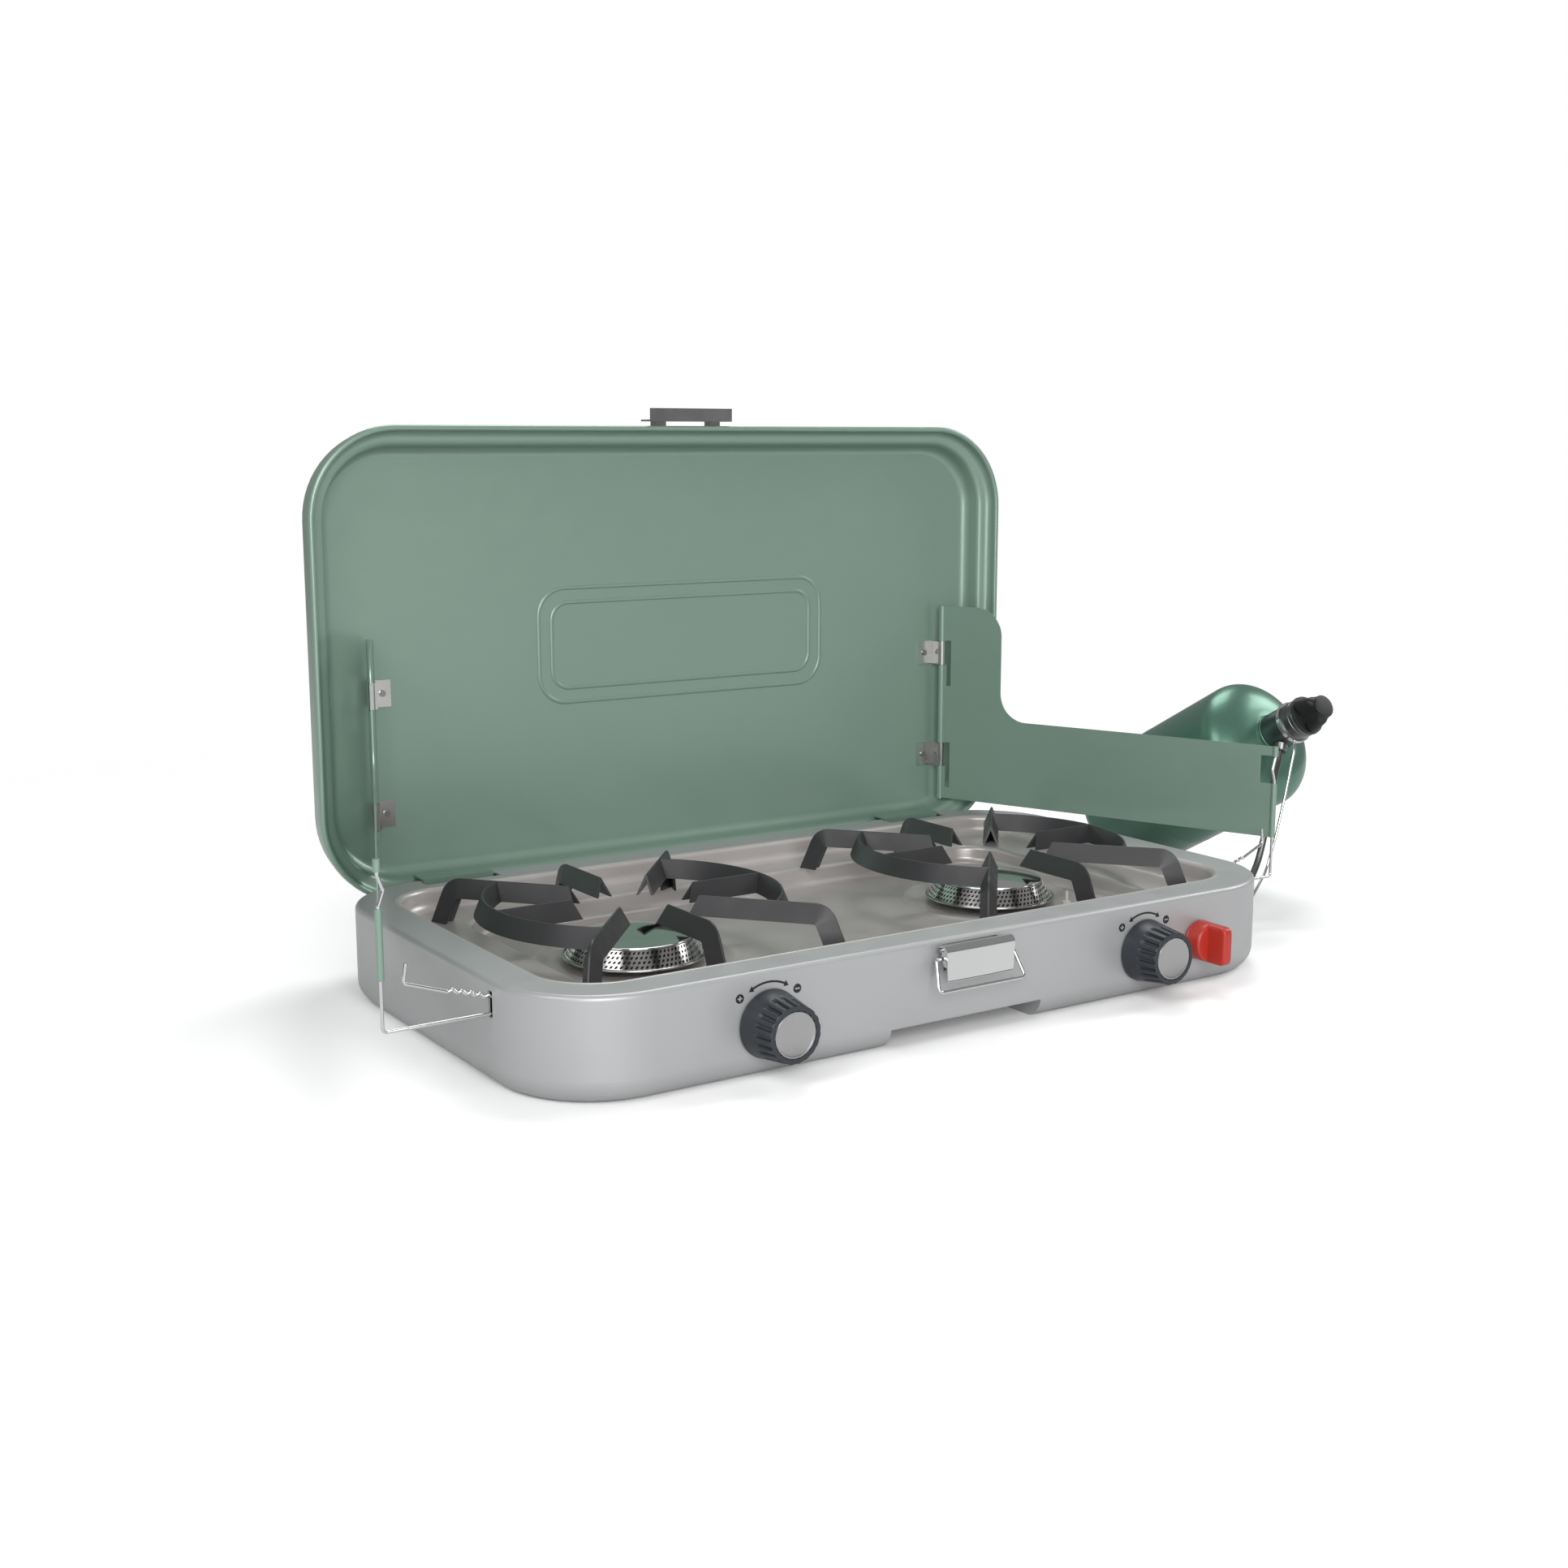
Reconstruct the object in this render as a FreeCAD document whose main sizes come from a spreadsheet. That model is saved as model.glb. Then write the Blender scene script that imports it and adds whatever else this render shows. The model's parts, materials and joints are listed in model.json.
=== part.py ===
"""Two-burner camping stove, shown open, as a parametric FreeCAD document.

Frame: millimetres, X to the right, Y to the back, Z up. The origin is the middle of the case's
flat underside. The case stands on Z = 0 and the open lid stands behind it.
"""
import FreeCAD, Part
import math
import os
import re

V = FreeCAD.Vector
X_AXIS, Y_AXIS, Z_AXIS = V(1, 0, 0), V(0, 1, 0), V(0, 0, 1)

doc = FreeCAD.newDocument("camping_stove")
sheet = doc.addObject("Spreadsheet::Sheet", "dims")

DIMENSIONS = {
    # pressed case
    "case_width": 560, "case_depth": 314, "case_height": 62, "case_corner": 64,
    "case_wall": 1.2, "bottom_round": 14, "rim_round": 3, "rim_width": 26,
    "recess_width": 114, "recess_height": 12.5, "recess_depth": 38,
    # cooktop: terraces that step down from the rim to the deck
    "basin_sheet": 0.8, "basin_gap": 0.3, "flange_reach": 6,
    "shelf_level": 47.5, "deck_level": 34, "shelf_side": 40, "shelf_front": 31,
    "step_corner": 30, "step_round": 6, "pilot_hole": 6, "pilot_place": 84,
    # burners
    "burner_place": 142, "burner_back": -4, "burner_throat": 17, "burner_flange": 45,
    "flange_level": 38, "ring_foot": 43, "ring_head": 36, "ring_height": 10,
    "collar_width": 4, "electrode_place": 38, "electrode_radius": 1,
    "ceramic_radius": 2.9, "ceramic_drop": 8,
    "burner_sheet": 1.0, "cap_rise": 5,
    # pan supports
    "support_top": 77, "support_height": 12, "support_width": 11, "arc_radius": 92,
    "arm_start": 43, "arm_angle": 50, "long_elbow": 126, "long_foot": 138,
    "short_elbow": 98, "short_foot": 111, "elbow_round": 14,
    # controls on the front wall
    "control_level": 31.5, "knob_radius": 18, "knob_length": 26, "knob_gap": 1,
    "disc_radius": 13.5, "disc_thick": 1.2, "stem_radius": 3, "stem_play": 0.05,
    "igniter_place": 190, "igniter_radius": 13, "igniter_length": 12, "wing_length": 14,
    # gas parts under the deck
    "valve_width": 18, "valve_back": 120, "valve_front": 150, "valve_low": 13.6,
    "valve_high": 42, "valve_seat": 12, "jet_radius": 3, "jet_length": 6,
    "mixer_level": 24, "mixer_radius": 8, "mixer_wall": 1.0, "manifold_radius": 3.5,
    "manifold_level": 18.5, "manifold_place": 135, "inlet_place": -66,
    "inlet_level": 22, "socket_radius": 8, "igniter_back": 26, "igniter_half": 8,
    # lid
    "lid_depth": 27, "lid_height": 313, "lid_corner": 61, "lid_sheet": 1.0,
    "lid_round": 8, "lid_lip": 3, "lid_gap": 0.5, "lid_foot": 47, "hinge_pin": 2,
    "hinge_play": 0.05, "tongue_place": 190, "tongue_width": 50, "tongue_sheet": 1.2,
    "catch_width": 66, "catch_height": 9,
    # windguards
    "guard_place": 237, "guard_line": 16.5, "guard_splay": 21.5, "guard_length": 276,
    "guard_sheet": 0.8, "guard_low": 69, "guard_arm": 66, "guard_tall": 222,
    "guard_post": 53, "guard_round": 22, "guard_pin": 1.5, "clip_height": 18,
    "clip_low": 104, "clip_high": 185, "slot_height": 36, "roll_wall": 0.9,
    "wire_radius": 1.0, "wire_play": 0.07, "notch_low": 108, "notch_high": 128,
    "wall_slot_place": -92, "wall_slot_middle": 49, "wall_slot_height": 15,
    "wall_slot_width": 5,
    # latch
    "latch_width": 52, "latch_top": 60, "latch_low": 38, "latch_reach": 9,
    "latch_sheet": 1.0, "latch_pin": 1.25, "latch_ear": 2.0, "bail_radius": 1.1, "bail_level": 51.5,
    # gas cylinder and regulator
    "bottle_radius": 49.5, "bottle_length": 180, "bottle_place": 393, "bottle_front": -32.2,
    "bottle_level": 134.3, "bottle_tilt": 29, "bottle_wall": 1.5, "neck_radius": 15, "neck_length": 5,
    "dome_height": 22,
    "regulator_radius": 14.5, "regulator_length": 32, "grip_radius": 15,
    "grip_length": 20, "feed_radius": 2.4, "stay_radius": 1.0, "stub_radius": 6,
    "stub_length": 9,
}

for row, (name, number) in enumerate(DIMENSIONS.items(), start=1):
    sheet.set("A%d" % row, name)
    sheet.set("B%d" % row, str(number))
    sheet.setAlias("B%d" % row, name)
doc.recompute()


class Sizes:
    """Read a named cell of the sheet as a plain number."""

    def __getattr__(self, name):
        return float(getattr(sheet, name))


S = Sizes()
NODES = []


def bound(text):
    """Turn the sheet's aliases inside an expression into references to the sheet."""
    return re.sub(r"[a-z]+(?:_[a-z]+)+", lambda m: "dims." + m.group(0), text)


def primitive(kind, name, at=(0, 0, 0), turn=None, **sizes):
    """A Part primitive whose sizes and place are bound to the sheet."""
    piece = doc.addObject("Part::" + kind, name)
    for prop, text in sizes.items():
        piece.setExpression(prop, bound(text))
    if turn:
        piece.Placement = FreeCAD.Placement(V(0, 0, 0), FreeCAD.Rotation(*turn))
    for letter, text in zip("xyz", at):
        piece.setExpression("Placement.Base." + letter, bound(str(text)))
    return piece


TURNS = {"X": (Y_AXIS, 90), "Y": (X_AXIS, -90), "-Y": (X_AXIS, 90), "Z": None}


def box(name, at, length, width, height):
    """A box bound to the sheet, from its lowest corner."""
    return primitive("Box", name, at, Length=length, Width=width, Height=height)


def cylinder(name, axis, at, radius, height):
    """A cylinder bound to the sheet, from the middle of its first end along an axis."""
    return primitive("Cylinder", name, at, TURNS[axis], Radius=radius, Height=height)


def group(name, pieces):
    """Several like solids kept together under one name."""
    whole = doc.addObject("Part::Compound", name)
    whole.Links = list(pieces)
    return whole


def join(name, *pieces):
    """The union of several objects."""
    whole = doc.addObject("Part::MultiFuse", name)
    whole.Shapes = list(pieces)
    return whole


def cut(name, base, tool):
    """One object less another."""
    rest = doc.addObject("Part::Cut", name)
    rest.Base, rest.Tool = base, tool
    return rest


def shaped(name, shape):
    """A sub-part whose shape is worked out with Part's own functions."""
    piece = doc.addObject("Part::Feature", name)
    piece.Shape = shape
    piece.Placement = shape.Placement
    return node(piece, name)


def node(piece, label):
    """Name a finished sub-part; the name is its file's name too."""
    piece.Label = label
    NODES.append(piece)
    return piece


def slab(width, front, back, corner, low, high):
    """A rounded rectangle in plan, from height low to height high."""
    box = Part.makeBox(width, back - front, high - low, V(-width / 2, front, low))
    upright = [e for e in box.Edges if abs(e.tangentAt(e.FirstParameter).z) > 0.9]
    return box.makeFillet(corner, upright)


def round_level(solid, level, radius):
    """Round the outline edges of a solid that lie at one height."""
    edges = [e for e in solid.Edges
             if abs(e.BoundBox.ZMin - level) < 1e-6 and abs(e.BoundBox.ZMax - level) < 1e-6]
    return solid.makeFillet(radius, edges)


def rod(start, end, radius):
    """A round bar between two points."""
    run = end - start
    return Part.makeCylinder(radius, run.Length, start, run)


def turned(profile, centre=V(0, 0, 0), axis=Z_AXIS):
    """A solid of revolution from (radius, height) pairs, standing on centre along axis."""
    points = [V(r, 0, h) for r, h in profile]
    face = Part.Face(Part.makePolygon(points + points[:1]))
    solid = face.revolve(V(0, 0, 0), Z_AXIS, 360)
    solid.Placement = FreeCAD.Placement(centre, FreeCAD.Rotation(Z_AXIS, axis))
    return solid


def bent_path(points, radii):
    """Straight runs joined by tangent arcs, one radius for each inner point."""
    edges, last = [], points[0]
    for before, corner, after, radius in zip(points, points[1:], points[2:], radii):
        a, b = (before - corner).normalize(), (after - corner).normalize()
        half = a.getAngle(b) / 2
        reach = radius / math.tan(half)
        start, end = corner + a * reach, corner + b * reach
        middle = (a + b).normalize()
        crown = corner + middle * (radius / math.sin(half) - radius)
        edges.append(Part.LineSegment(last, start).toShape())
        edges.append(Part.Arc(start, crown, end).toShape())
        last = end
    edges.append(Part.LineSegment(last, points[-1]).toShape())
    return Part.Wire(edges)


def bar(points, radius, bends):
    """A round bar of one radius along a bent path."""
    path = bent_path(points, bends)
    first = points[1] - points[0]
    ring = Part.Wire(Part.makeCircle(radius, points[0], first))
    solid = path.makePipeShell([ring], True, False)
    section = math.pi * radius ** 2
    if abs(solid.Volume / (section * path.Length) - 1) > 0.02:
        raise ValueError("a bent bar lost volume")
    return solid


def both_sides(shape):
    """A shape and its mirror image on the left."""
    return shape.mirror(V(0, 0, 0), X_AXIS), shape


# ---------------------------------------------------------------- pressed case
half_w, half_d = S.case_width / 2, S.case_depth / 2


def case_volume(inset):
    """The case's outline moved in by one wall, rounded at the foot and at the rim."""
    body = slab(S.case_width - 2 * inset, -half_d + inset, half_d - inset,
                S.case_corner - inset, inset, S.case_height - inset)
    body = round_level(body, inset, S.bottom_round - inset)
    return round_level(body, S.case_height - inset, S.rim_round - inset)


def recess_volume(grow):
    """The hand recess in the front of the underside, grown by the wall for its lining."""
    return Part.makeBox(S.recess_width + 2 * grow, S.recess_depth + 1 + grow,
                        S.recess_height + 1 + grow,
                        V(-S.recess_width / 2 - grow, -half_d - 1, -1))


open_x, open_y = S.case_width - 2 * S.rim_width, half_d - S.rim_width
tongue_slot_front = half_d - 16.5
tongue_slot_depth, tongue_slot_gap, mouth_cut = 12, 2, 5
case = case_volume(0).cut(recess_volume(0))
case = case.cut(case_volume(S.case_wall).cut(recess_volume(S.case_wall)))
case = case.cut(slab(open_x, -open_y, open_y, S.case_corner - S.rim_width,
                     S.case_height - mouth_cut, S.case_height + mouth_cut))
wall_cuts = []
for side in (-1, 1):
    wall_cuts.append(Part.makeBox(
        S.tongue_width + 2 * tongue_slot_gap, tongue_slot_depth, 8,
        V(side * S.tongue_place - S.tongue_width / 2 - tongue_slot_gap, tongue_slot_front,
          S.case_height - 4)))
    wall_cuts.append(Part.makeBox(
        8, S.wall_slot_width, S.wall_slot_height,
        V(side * half_w - 4, S.wall_slot_place - S.wall_slot_width / 2,
          S.wall_slot_middle - S.wall_slot_height / 2)))
    wall_cuts.append(rod(V(side * S.burner_place, -half_d - 2, S.control_level),
                         V(side * S.burner_place, -half_d + 4, S.control_level),
                         S.stem_radius + 0.6))
wall_cuts.append(rod(V(S.igniter_place, -half_d - 2, S.control_level),
                     V(S.igniter_place, -half_d + 4, S.control_level), S.stem_radius + 0.6))
wall_cuts.append(rod(V(half_w - 4, S.inlet_place, S.inlet_level),
                     V(half_w + 4, S.inlet_place, S.inlet_level), S.socket_radius - 2))
stay_hook = V(half_w, S.inlet_place - 14, S.inlet_level - 1)
wall_cuts.append(rod(V(half_w - 4, stay_hook.y, stay_hook.z),
                     V(half_w + 4, stay_hook.y, stay_hook.z), S.stay_radius + 0.1))
for tool in wall_cuts:
    case = case.cut(tool)
shaped("case_shell", case)


# ----------------------------------------------------------------------------------- cooktop basin
rim_under = S.case_height - S.case_wall
shelf_x, shelf_y = open_x / 2 - S.shelf_side, open_y - S.shelf_front


def basin_volume(inset, lift):
    """The drawn pan: an upper well down to the shelf and a lower one down to the deck."""
    gap = S.basin_gap + inset
    upper = slab(open_x - 2 * gap, -open_y + gap, open_y - gap,
                 S.case_corner - S.rim_width - gap, S.shelf_level - S.basin_sheet + lift,
                 rim_under)
    upper = round_level(upper, S.shelf_level - S.basin_sheet + lift, S.step_round - inset)
    lower = slab(2 * (shelf_x - inset), -shelf_y + inset, shelf_y - inset,
                 S.step_corner - inset, S.deck_level - S.basin_sheet + lift,
                 S.shelf_level + 1)
    lower = round_level(lower, S.deck_level - S.basin_sheet + lift, S.step_round - inset)
    return upper.fuse(lower)


basin = basin_volume(0, 0).cut(basin_volume(S.basin_sheet, S.basin_sheet))
mouth_inset = S.basin_gap + S.basin_sheet
flange = slab(open_x + 2 * S.flange_reach, -open_y - S.flange_reach, open_y + S.flange_reach,
              S.case_corner - S.rim_width + S.flange_reach, rim_under - S.basin_sheet, rim_under)
flange = flange.cut(slab(open_x - 2 * mouth_inset, -open_y + mouth_inset, open_y - mouth_inset,
                         S.case_corner - S.rim_width - mouth_inset, rim_under - 2,
                         rim_under + 1))
basin = basin.fuse(flange)
flange_under = S.flange_level - S.burner_sheet
electrode_places = []
for side in (-1, 1):
    centre = V(side * S.burner_place, S.burner_back, 0)
    collar = turned([(S.burner_throat + 0.3, S.deck_level - S.basin_sheet),
                     (S.burner_throat + S.collar_width, S.deck_level - S.basin_sheet),
                     (S.burner_throat + S.collar_width, flange_under),
                     (S.burner_throat + 0.3, flange_under)], centre)
    basin = basin.cut(rod(centre, centre + V(0, 0, S.case_height), S.burner_throat + 0.3))
    basin = basin.fuse(collar)
    place = centre + V(S.electrode_place, -S.electrode_place, 0)
    electrode_places.append(place)
    basin = basin.cut(rod(place, place + V(0, 0, S.case_height), S.ceramic_radius + 0.1))
basin = basin.cut(rod(V(0, S.pilot_place, 0), V(0, S.pilot_place, S.case_height), S.pilot_hole))
shaped("cooktop_basin", basin.removeSplitter())


# ----------------------------------------------------------------------------------------- burners
def burner(side, word):
    """Cup with its flange, perforated cone, domed cap and mixing tube of one burner."""
    x, y = "%d * burner_place" % side, "burner_back"
    foot = "(mixer_level - mixer_radius - 2)"
    plate = cylinder("flange_" + word, "Z", (x, y, "flange_level - burner_sheet"),
                     "burner_flange", "burner_sheet")
    tube = cylinder("throat_" + word, "Z", (x, y, foot), "burner_throat",
                    "flange_level - " + foot)
    hollow = cylinder("throat_hollow_" + word, "Z", (x, y, foot + " + burner_sheet"),
                      "burner_throat - burner_sheet", "flange_level - " + foot)
    mouth = cylinder("mixer_mouth_" + word, "Y", (x, "burner_back - burner_throat - 1",
                     "mixer_level"), "mixer_radius - mixer_wall", "4")
    node(cut("cup_" + word, join("cup_body_" + word, plate, tube),
             join("cup_hollow_" + word, hollow, mouth)), "burner_cup_" + word)
    outer = primitive("Cone", "band_" + word, (x, y, "flange_level"), Radius1="ring_foot",
                      Radius2="ring_head", Height="ring_height")
    inner = primitive("Cone", "band_hollow_" + word, (x, y, "flange_level"),
                      Radius1="ring_foot - burner_sheet", Radius2="ring_head - burner_sheet",
                      Height="ring_height")
    node(cut("ring_" + word, outer, inner), "burner_ring_" + word)
    dome = "((ring_head * ring_head + cap_rise * cap_rise) / (2 * cap_rise))"
    crown = "(flange_level + ring_height)"
    ball = primitive("Sphere", "dome_" + word, (x, y, crown + " + cap_rise - " + dome),
                     Radius=dome)
    disc = cylinder("cap_disc_" + word, "Z", (x, y, crown), "ring_head", "cap_rise")
    cap = doc.addObject("Part::Common", "cap_" + word)
    cap.Base, cap.Tool = disc, ball
    node(cap, "burner_cap_" + word)
    start = "(-valve_back + jet_length - 3)"
    length = "burner_back - burner_throat - " + start
    pipe = cylinder("mixer_" + word, "Y", (x, start, "mixer_level"), "mixer_radius", length)
    bore = cylinder("mixer_bore_" + word, "Y", (x, start, "mixer_level"),
                    "mixer_radius - mixer_wall", length)
    window = box("air_window_" + word, (x + " + 3", start + " + 8", "mixer_level - 12"),
                 "20", "8", "24")
    node(cut("mixer_pipe_" + word, pipe, join("mixer_cuts_" + word, bore, window)),
         "mixer_tube_" + word)


# ------------------------------------------------------------- pan supports
def support_arm(centre, angle, elbow, foot, floor):
    """A ridged bar: level over the burner, rounded at the elbow, then down to its foot."""
    top, half = S.support_top, S.support_width / 2
    path = bent_path([V(S.arm_start, 0, top), V(elbow, 0, top), V(foot, 0, floor)],
                     [S.elbow_round])
    ridge = Part.makePolygon([V(S.arm_start, 0, top), V(S.arm_start, half, top - S.support_height),
                              V(S.arm_start, -half, top - S.support_height),
                              V(S.arm_start, 0, top)])
    arm = path.makePipeShell([ridge], True, False)
    arm = arm.common(Part.makeBox(400, 40, 200, V(0, -20, floor)))
    arm.rotate(V(0, 0, 0), Z_AXIS, angle)
    arm.translate(centre)
    return arm


def ridge_arc(centre, first, last):
    """The curved bar that joins a frame's arms."""
    r, top, half = S.arc_radius, S.support_top, S.support_width / 2
    face = Part.Face(Part.makePolygon([V(r, 0, top), V(r + half, 0, top - S.support_height),
                                       V(r - half, 0, top - S.support_height), V(r, 0, top)]))
    arc = face.revolve(V(0, 0, 0), Z_AXIS, last - first)
    arc.rotate(V(0, 0, 0), Z_AXIS, first)
    arc.translate(centre)
    return arc


def spoke(centre, angle):
    """A straight ridged bar from the middle of the burner to the arc."""
    r0, r1, top, half = S.arm_start, S.arc_radius, S.support_top, S.support_width / 2
    face = Part.Face(Part.makePolygon([V(r0, 0, top), V(r0, half, top - S.support_height),
                                       V(r0, -half, top - S.support_height), V(r0, 0, top)]))
    bar_solid = face.extrude(V(r1 - r0, 0, 0))
    bar_solid.rotate(V(0, 0, 0), Z_AXIS, angle)
    bar_solid.translate(centre)
    return bar_solid


def pan_supports(side, word):
    """Two C-shaped frames and two single fingers around one burner."""
    centre = V(side * S.burner_place, S.burner_back, 0)
    for facing, name in ((0, "right"), (180, "left")):
        frame = ridge_arc(centre, facing - S.arm_angle, facing + S.arm_angle)
        frame = frame.fuse(spoke(centre, facing))
        for turn in (-S.arm_angle, S.arm_angle):
            frame = frame.fuse(support_arm(centre, facing + turn, S.long_elbow, S.long_foot,
                                           S.shelf_level))
        shaped("pan_frame_%s_%s" % (word, name), frame.removeSplitter())
    for angle, name in ((90, "back"), (-90, "front")):
        shaped("pan_finger_%s_%s" % (word, name),
               support_arm(centre, angle, S.short_elbow, S.short_foot, S.shelf_level))


# ------------------------------------------------------------------------- controls and gas valves
def knob_shape(side):
    """A waisted knob with flutes round it and a shallow seat for its disc."""
    x, z, back = side * S.burner_place, S.control_level, -half_d - S.knob_gap
    r, front = S.knob_radius, back - S.knob_length
    body = turned([(S.stem_radius, 0), (r + 2, 0), (r + 1.2, 3), (r, 5), (r - 2, S.knob_length - 2),
                   (r - 3.2, S.knob_length), (S.disc_radius + 0.2, S.knob_length),
                   (S.disc_radius + 0.2, S.knob_length - S.disc_thick),
                   (S.stem_radius, S.knob_length - S.disc_thick)], V(x, back, z), V(0, -1, 0))
    flutes, count = [], 24
    for k in range(count):
        a = 2 * math.pi * k / count
        flutes.append(rod(V(x + (r + 0.6) * math.cos(a), back - 6, z + (r + 0.6) * math.sin(a)),
                          V(x + (r - 0.9) * math.cos(a), front + 4, z + (r - 0.9) * math.sin(a)),
                          1.2))
    return body.cut(Part.makeCompound(flutes))


def control(side, word):
    """Knob with its disc and stem, and the valve body that it opens."""
    x = "%d * burner_place" % side
    face = "(-case_depth / 2 - knob_gap - knob_length)"
    shaped("knob_" + word, knob_shape(side))
    node(cylinder("disc_" + word, "Y", (x, face, "control_level"), "disc_radius", "disc_thick"),
         "knob_disc_" + word)
    stem_end = "(-valve_front + valve_seat)"
    node(cylinder("stem_" + word, "Y", (x, face + " + disc_thick", "control_level"),
                  "stem_radius", stem_end + " - " + face + " - disc_thick"),
         "valve_stem_" + word)
    block = box("block_" + word, (x + " - valve_width / 2", "-valve_front", "valve_low"),
                "valve_width", "valve_front - valve_back", "valve_high - valve_low")
    nose = cylinder("nose_" + word, "Y", (x, "-case_depth / 2 + case_wall", "control_level"),
                    "stem_radius + 3", "case_depth / 2 - case_wall - valve_front")
    bore = cylinder("stem_bore_" + word, "Y", (x, "-case_depth / 2", "control_level"),
                    "stem_radius + stem_play", "case_depth / 2 + " + stem_end + " + stem_play")
    pipe = cylinder("pipe_bore_" + word, "X", (x + " - valve_width", "-manifold_place",
                    "manifold_level"), "manifold_radius + stem_play", "2 * valve_width")
    node(cut("valve_" + word, join("valve_block_" + word, block, nose),
             join("valve_bores_" + word, bore, pipe)), "valve_body_" + word)


for side, word in ((-1, "left"), (1, "right")):
    burner(side, word)
    pan_supports(side, word)
    control(side, word)

node(group("jets", [cylinder("jet_" + word, "Y", ("%d * burner_place" % side, "-valve_back",
                             "mixer_level"), "jet_radius", "jet_length - 1")
                    for side, word in ((-1, "left"), (1, "right"))]), "gas_jets")
inlet = V(half_w, S.inlet_place, S.inlet_level)
neck_in = 12
manifold = bar([V(-S.burner_place - 14, -S.manifold_place, S.manifold_level),
                V(228, -S.manifold_place, S.manifold_level),
                V(248, S.inlet_place, S.inlet_level), inlet - V(neck_in, 0, 0)],
               S.manifold_radius, [16, 9])
shaped("gas_manifold", manifold)
neck = cylinder("socket_neck", "X", ("case_width / 2 - 12", "inlet_place", "inlet_level"),
                "socket_radius - 2.2", "12")
nut = cylinder("socket_nut", "X", ("case_width / 2", "inlet_place", "inlet_level"),
               "socket_radius", "8")
socket_bore = cylinder("socket_bore", "X", ("case_width / 2 + 4", "inlet_place", "inlet_level"),
                       "feed_radius + stem_play", "8")
node(cut("socket", join("socket_body", neck, nut), socket_bore), "inlet_socket")

# ---------------------------------------------------------------------------------- rotary igniter
ig = V(S.igniter_place, -half_d, S.control_level)
hub = rod(ig - V(0, S.knob_gap, 0), ig - V(0, S.knob_gap + S.igniter_length, 0), S.igniter_radius)
wing = Part.makeBox(7, S.wing_length + S.igniter_length, 2 * S.igniter_radius,
                    V(ig.x - 3.5, ig.y - S.knob_gap - S.igniter_length - S.wing_length,
                      ig.z - S.igniter_radius))
wing = wing.makeFillet(2.4, [e for e in wing.Edges if e.BoundBox.YLength > 5])
shaped("igniter_knob", hub.fuse(wing).removeSplitter())
node(cylinder("ig_shaft", "Y", ("igniter_place", "-case_depth / 2 - knob_gap", "control_level"),
              "stem_radius", "knob_gap + 9"), "igniter_shaft")
piezo = box("ig_box", ("igniter_place - 11", "-case_depth / 2 + case_wall",
            "control_level - igniter_half"), "22", "igniter_back", "2 * igniter_half")
piezo_bore = cylinder("ig_bore", "Y", ("igniter_place", "-case_depth / 2", "control_level"),
                      "stem_radius + stem_play", "9 + stem_play")
node(cut("ig_body", piezo, piezo_bore), "igniter_body")

spark_rods = []
for place, word in zip(electrode_places, ("left", "right")):
    at = (str(place.x), str(place.y))
    core = cylinder("core_" + word, "Z", at + ("deck_level - ceramic_drop",),
                    "electrode_radius", "flange_level - deck_level + ceramic_drop + 4")
    sleeve = cylinder("sleeve_" + word, "Z", at + ("deck_level - ceramic_drop",),
                      "ceramic_radius", "ceramic_drop + 0.6")
    spark_rods.append(join("electrode_" + word, core, sleeve))
node(group("spark_rods", spark_rods), "electrodes")

lead_radius, back = 1.1, -half_d + S.case_wall + S.igniter_back
low_end = V(0, 0, S.deck_level - S.ceramic_drop)
left_end, right_end = (place + low_end for place in electrode_places)
lead_routes = {
    "left": [V(ig.x - 7, back, 26), V(ig.x - 7, back + 18, 26), V(172, -92, 12), V(132, -72, 8),
             V(80, -62, 7), V(24, -66, 8), V(-28, -58, 7), V(-72, -50, 8),
             left_end - V(0, 0, 13), left_end],
    "right": [V(ig.x + 7, back, 26), V(ig.x + 7, back + 18, 26), V(200, -90, 16),
              V(194, -66, 11), right_end - V(0, 0, 13), right_end],
}
for word, route in lead_routes.items():
    runs = [(b - a).Length for a, b in zip(route, route[1:])]
    bends = []
    for k in range(1, len(route) - 1):
        half_turn = (route[k] - route[k - 1]).getAngle(route[k + 1] - route[k]) / 2
        bends.append(0.45 * min(runs[k - 1], runs[k]) / math.tan(half_turn))
    print("lead", word, "radii", [round(b, 1) for b in bends])
    shaped("igniter_lead_" + word, bar(route, lead_radius, bends))

# ------------------------------------------------------------------ the lid
lid_front = half_d + S.lid_gap
lid_middle = S.lid_foot + S.lid_height / 2


def lid_volume(inset, front):
    """The lid's drawn shape, standing upright with its mouth to the front."""
    high = S.lid_height - 2 * inset
    tray = slab(S.case_width - 2 * inset, -high / 2, high / 2, S.lid_corner - inset,
                0, S.lid_depth - inset)
    tray = round_level(tray, S.lid_depth - inset, S.lid_round - inset)
    if front:
        tray = tray.fuse(slab(S.case_width - 2 * inset, -high / 2, high / 2,
                              S.lid_corner - inset, -2, 1))
    tray.rotate(V(0, 0, 0), X_AXIS, 90)
    tray.rotate(V(0, 0, 0), Z_AXIS, 180)
    tray.translate(V(0, lid_front, lid_middle))
    return tray


lid = lid_volume(0, False).cut(lid_volume(S.lid_sheet, True))
lip = slab(S.case_width, -S.lid_height / 2, S.lid_height / 2, S.lid_corner, 0, S.lid_lip)
lip = lip.cut(slab(S.case_width - 2 * S.lid_lip, -S.lid_height / 2 + S.lid_lip,
                   S.lid_height / 2 - S.lid_lip, S.lid_corner - S.lid_lip, -1, S.lid_lip + 1))
lip.rotate(V(0, 0, 0), X_AXIS, 90)
lip.rotate(V(0, 0, 0), Z_AXIS, 180)
lip.translate(V(0, lid_front, lid_middle))
shaped("lid_shell", lid.fuse(lip).removeSplitter())

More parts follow.
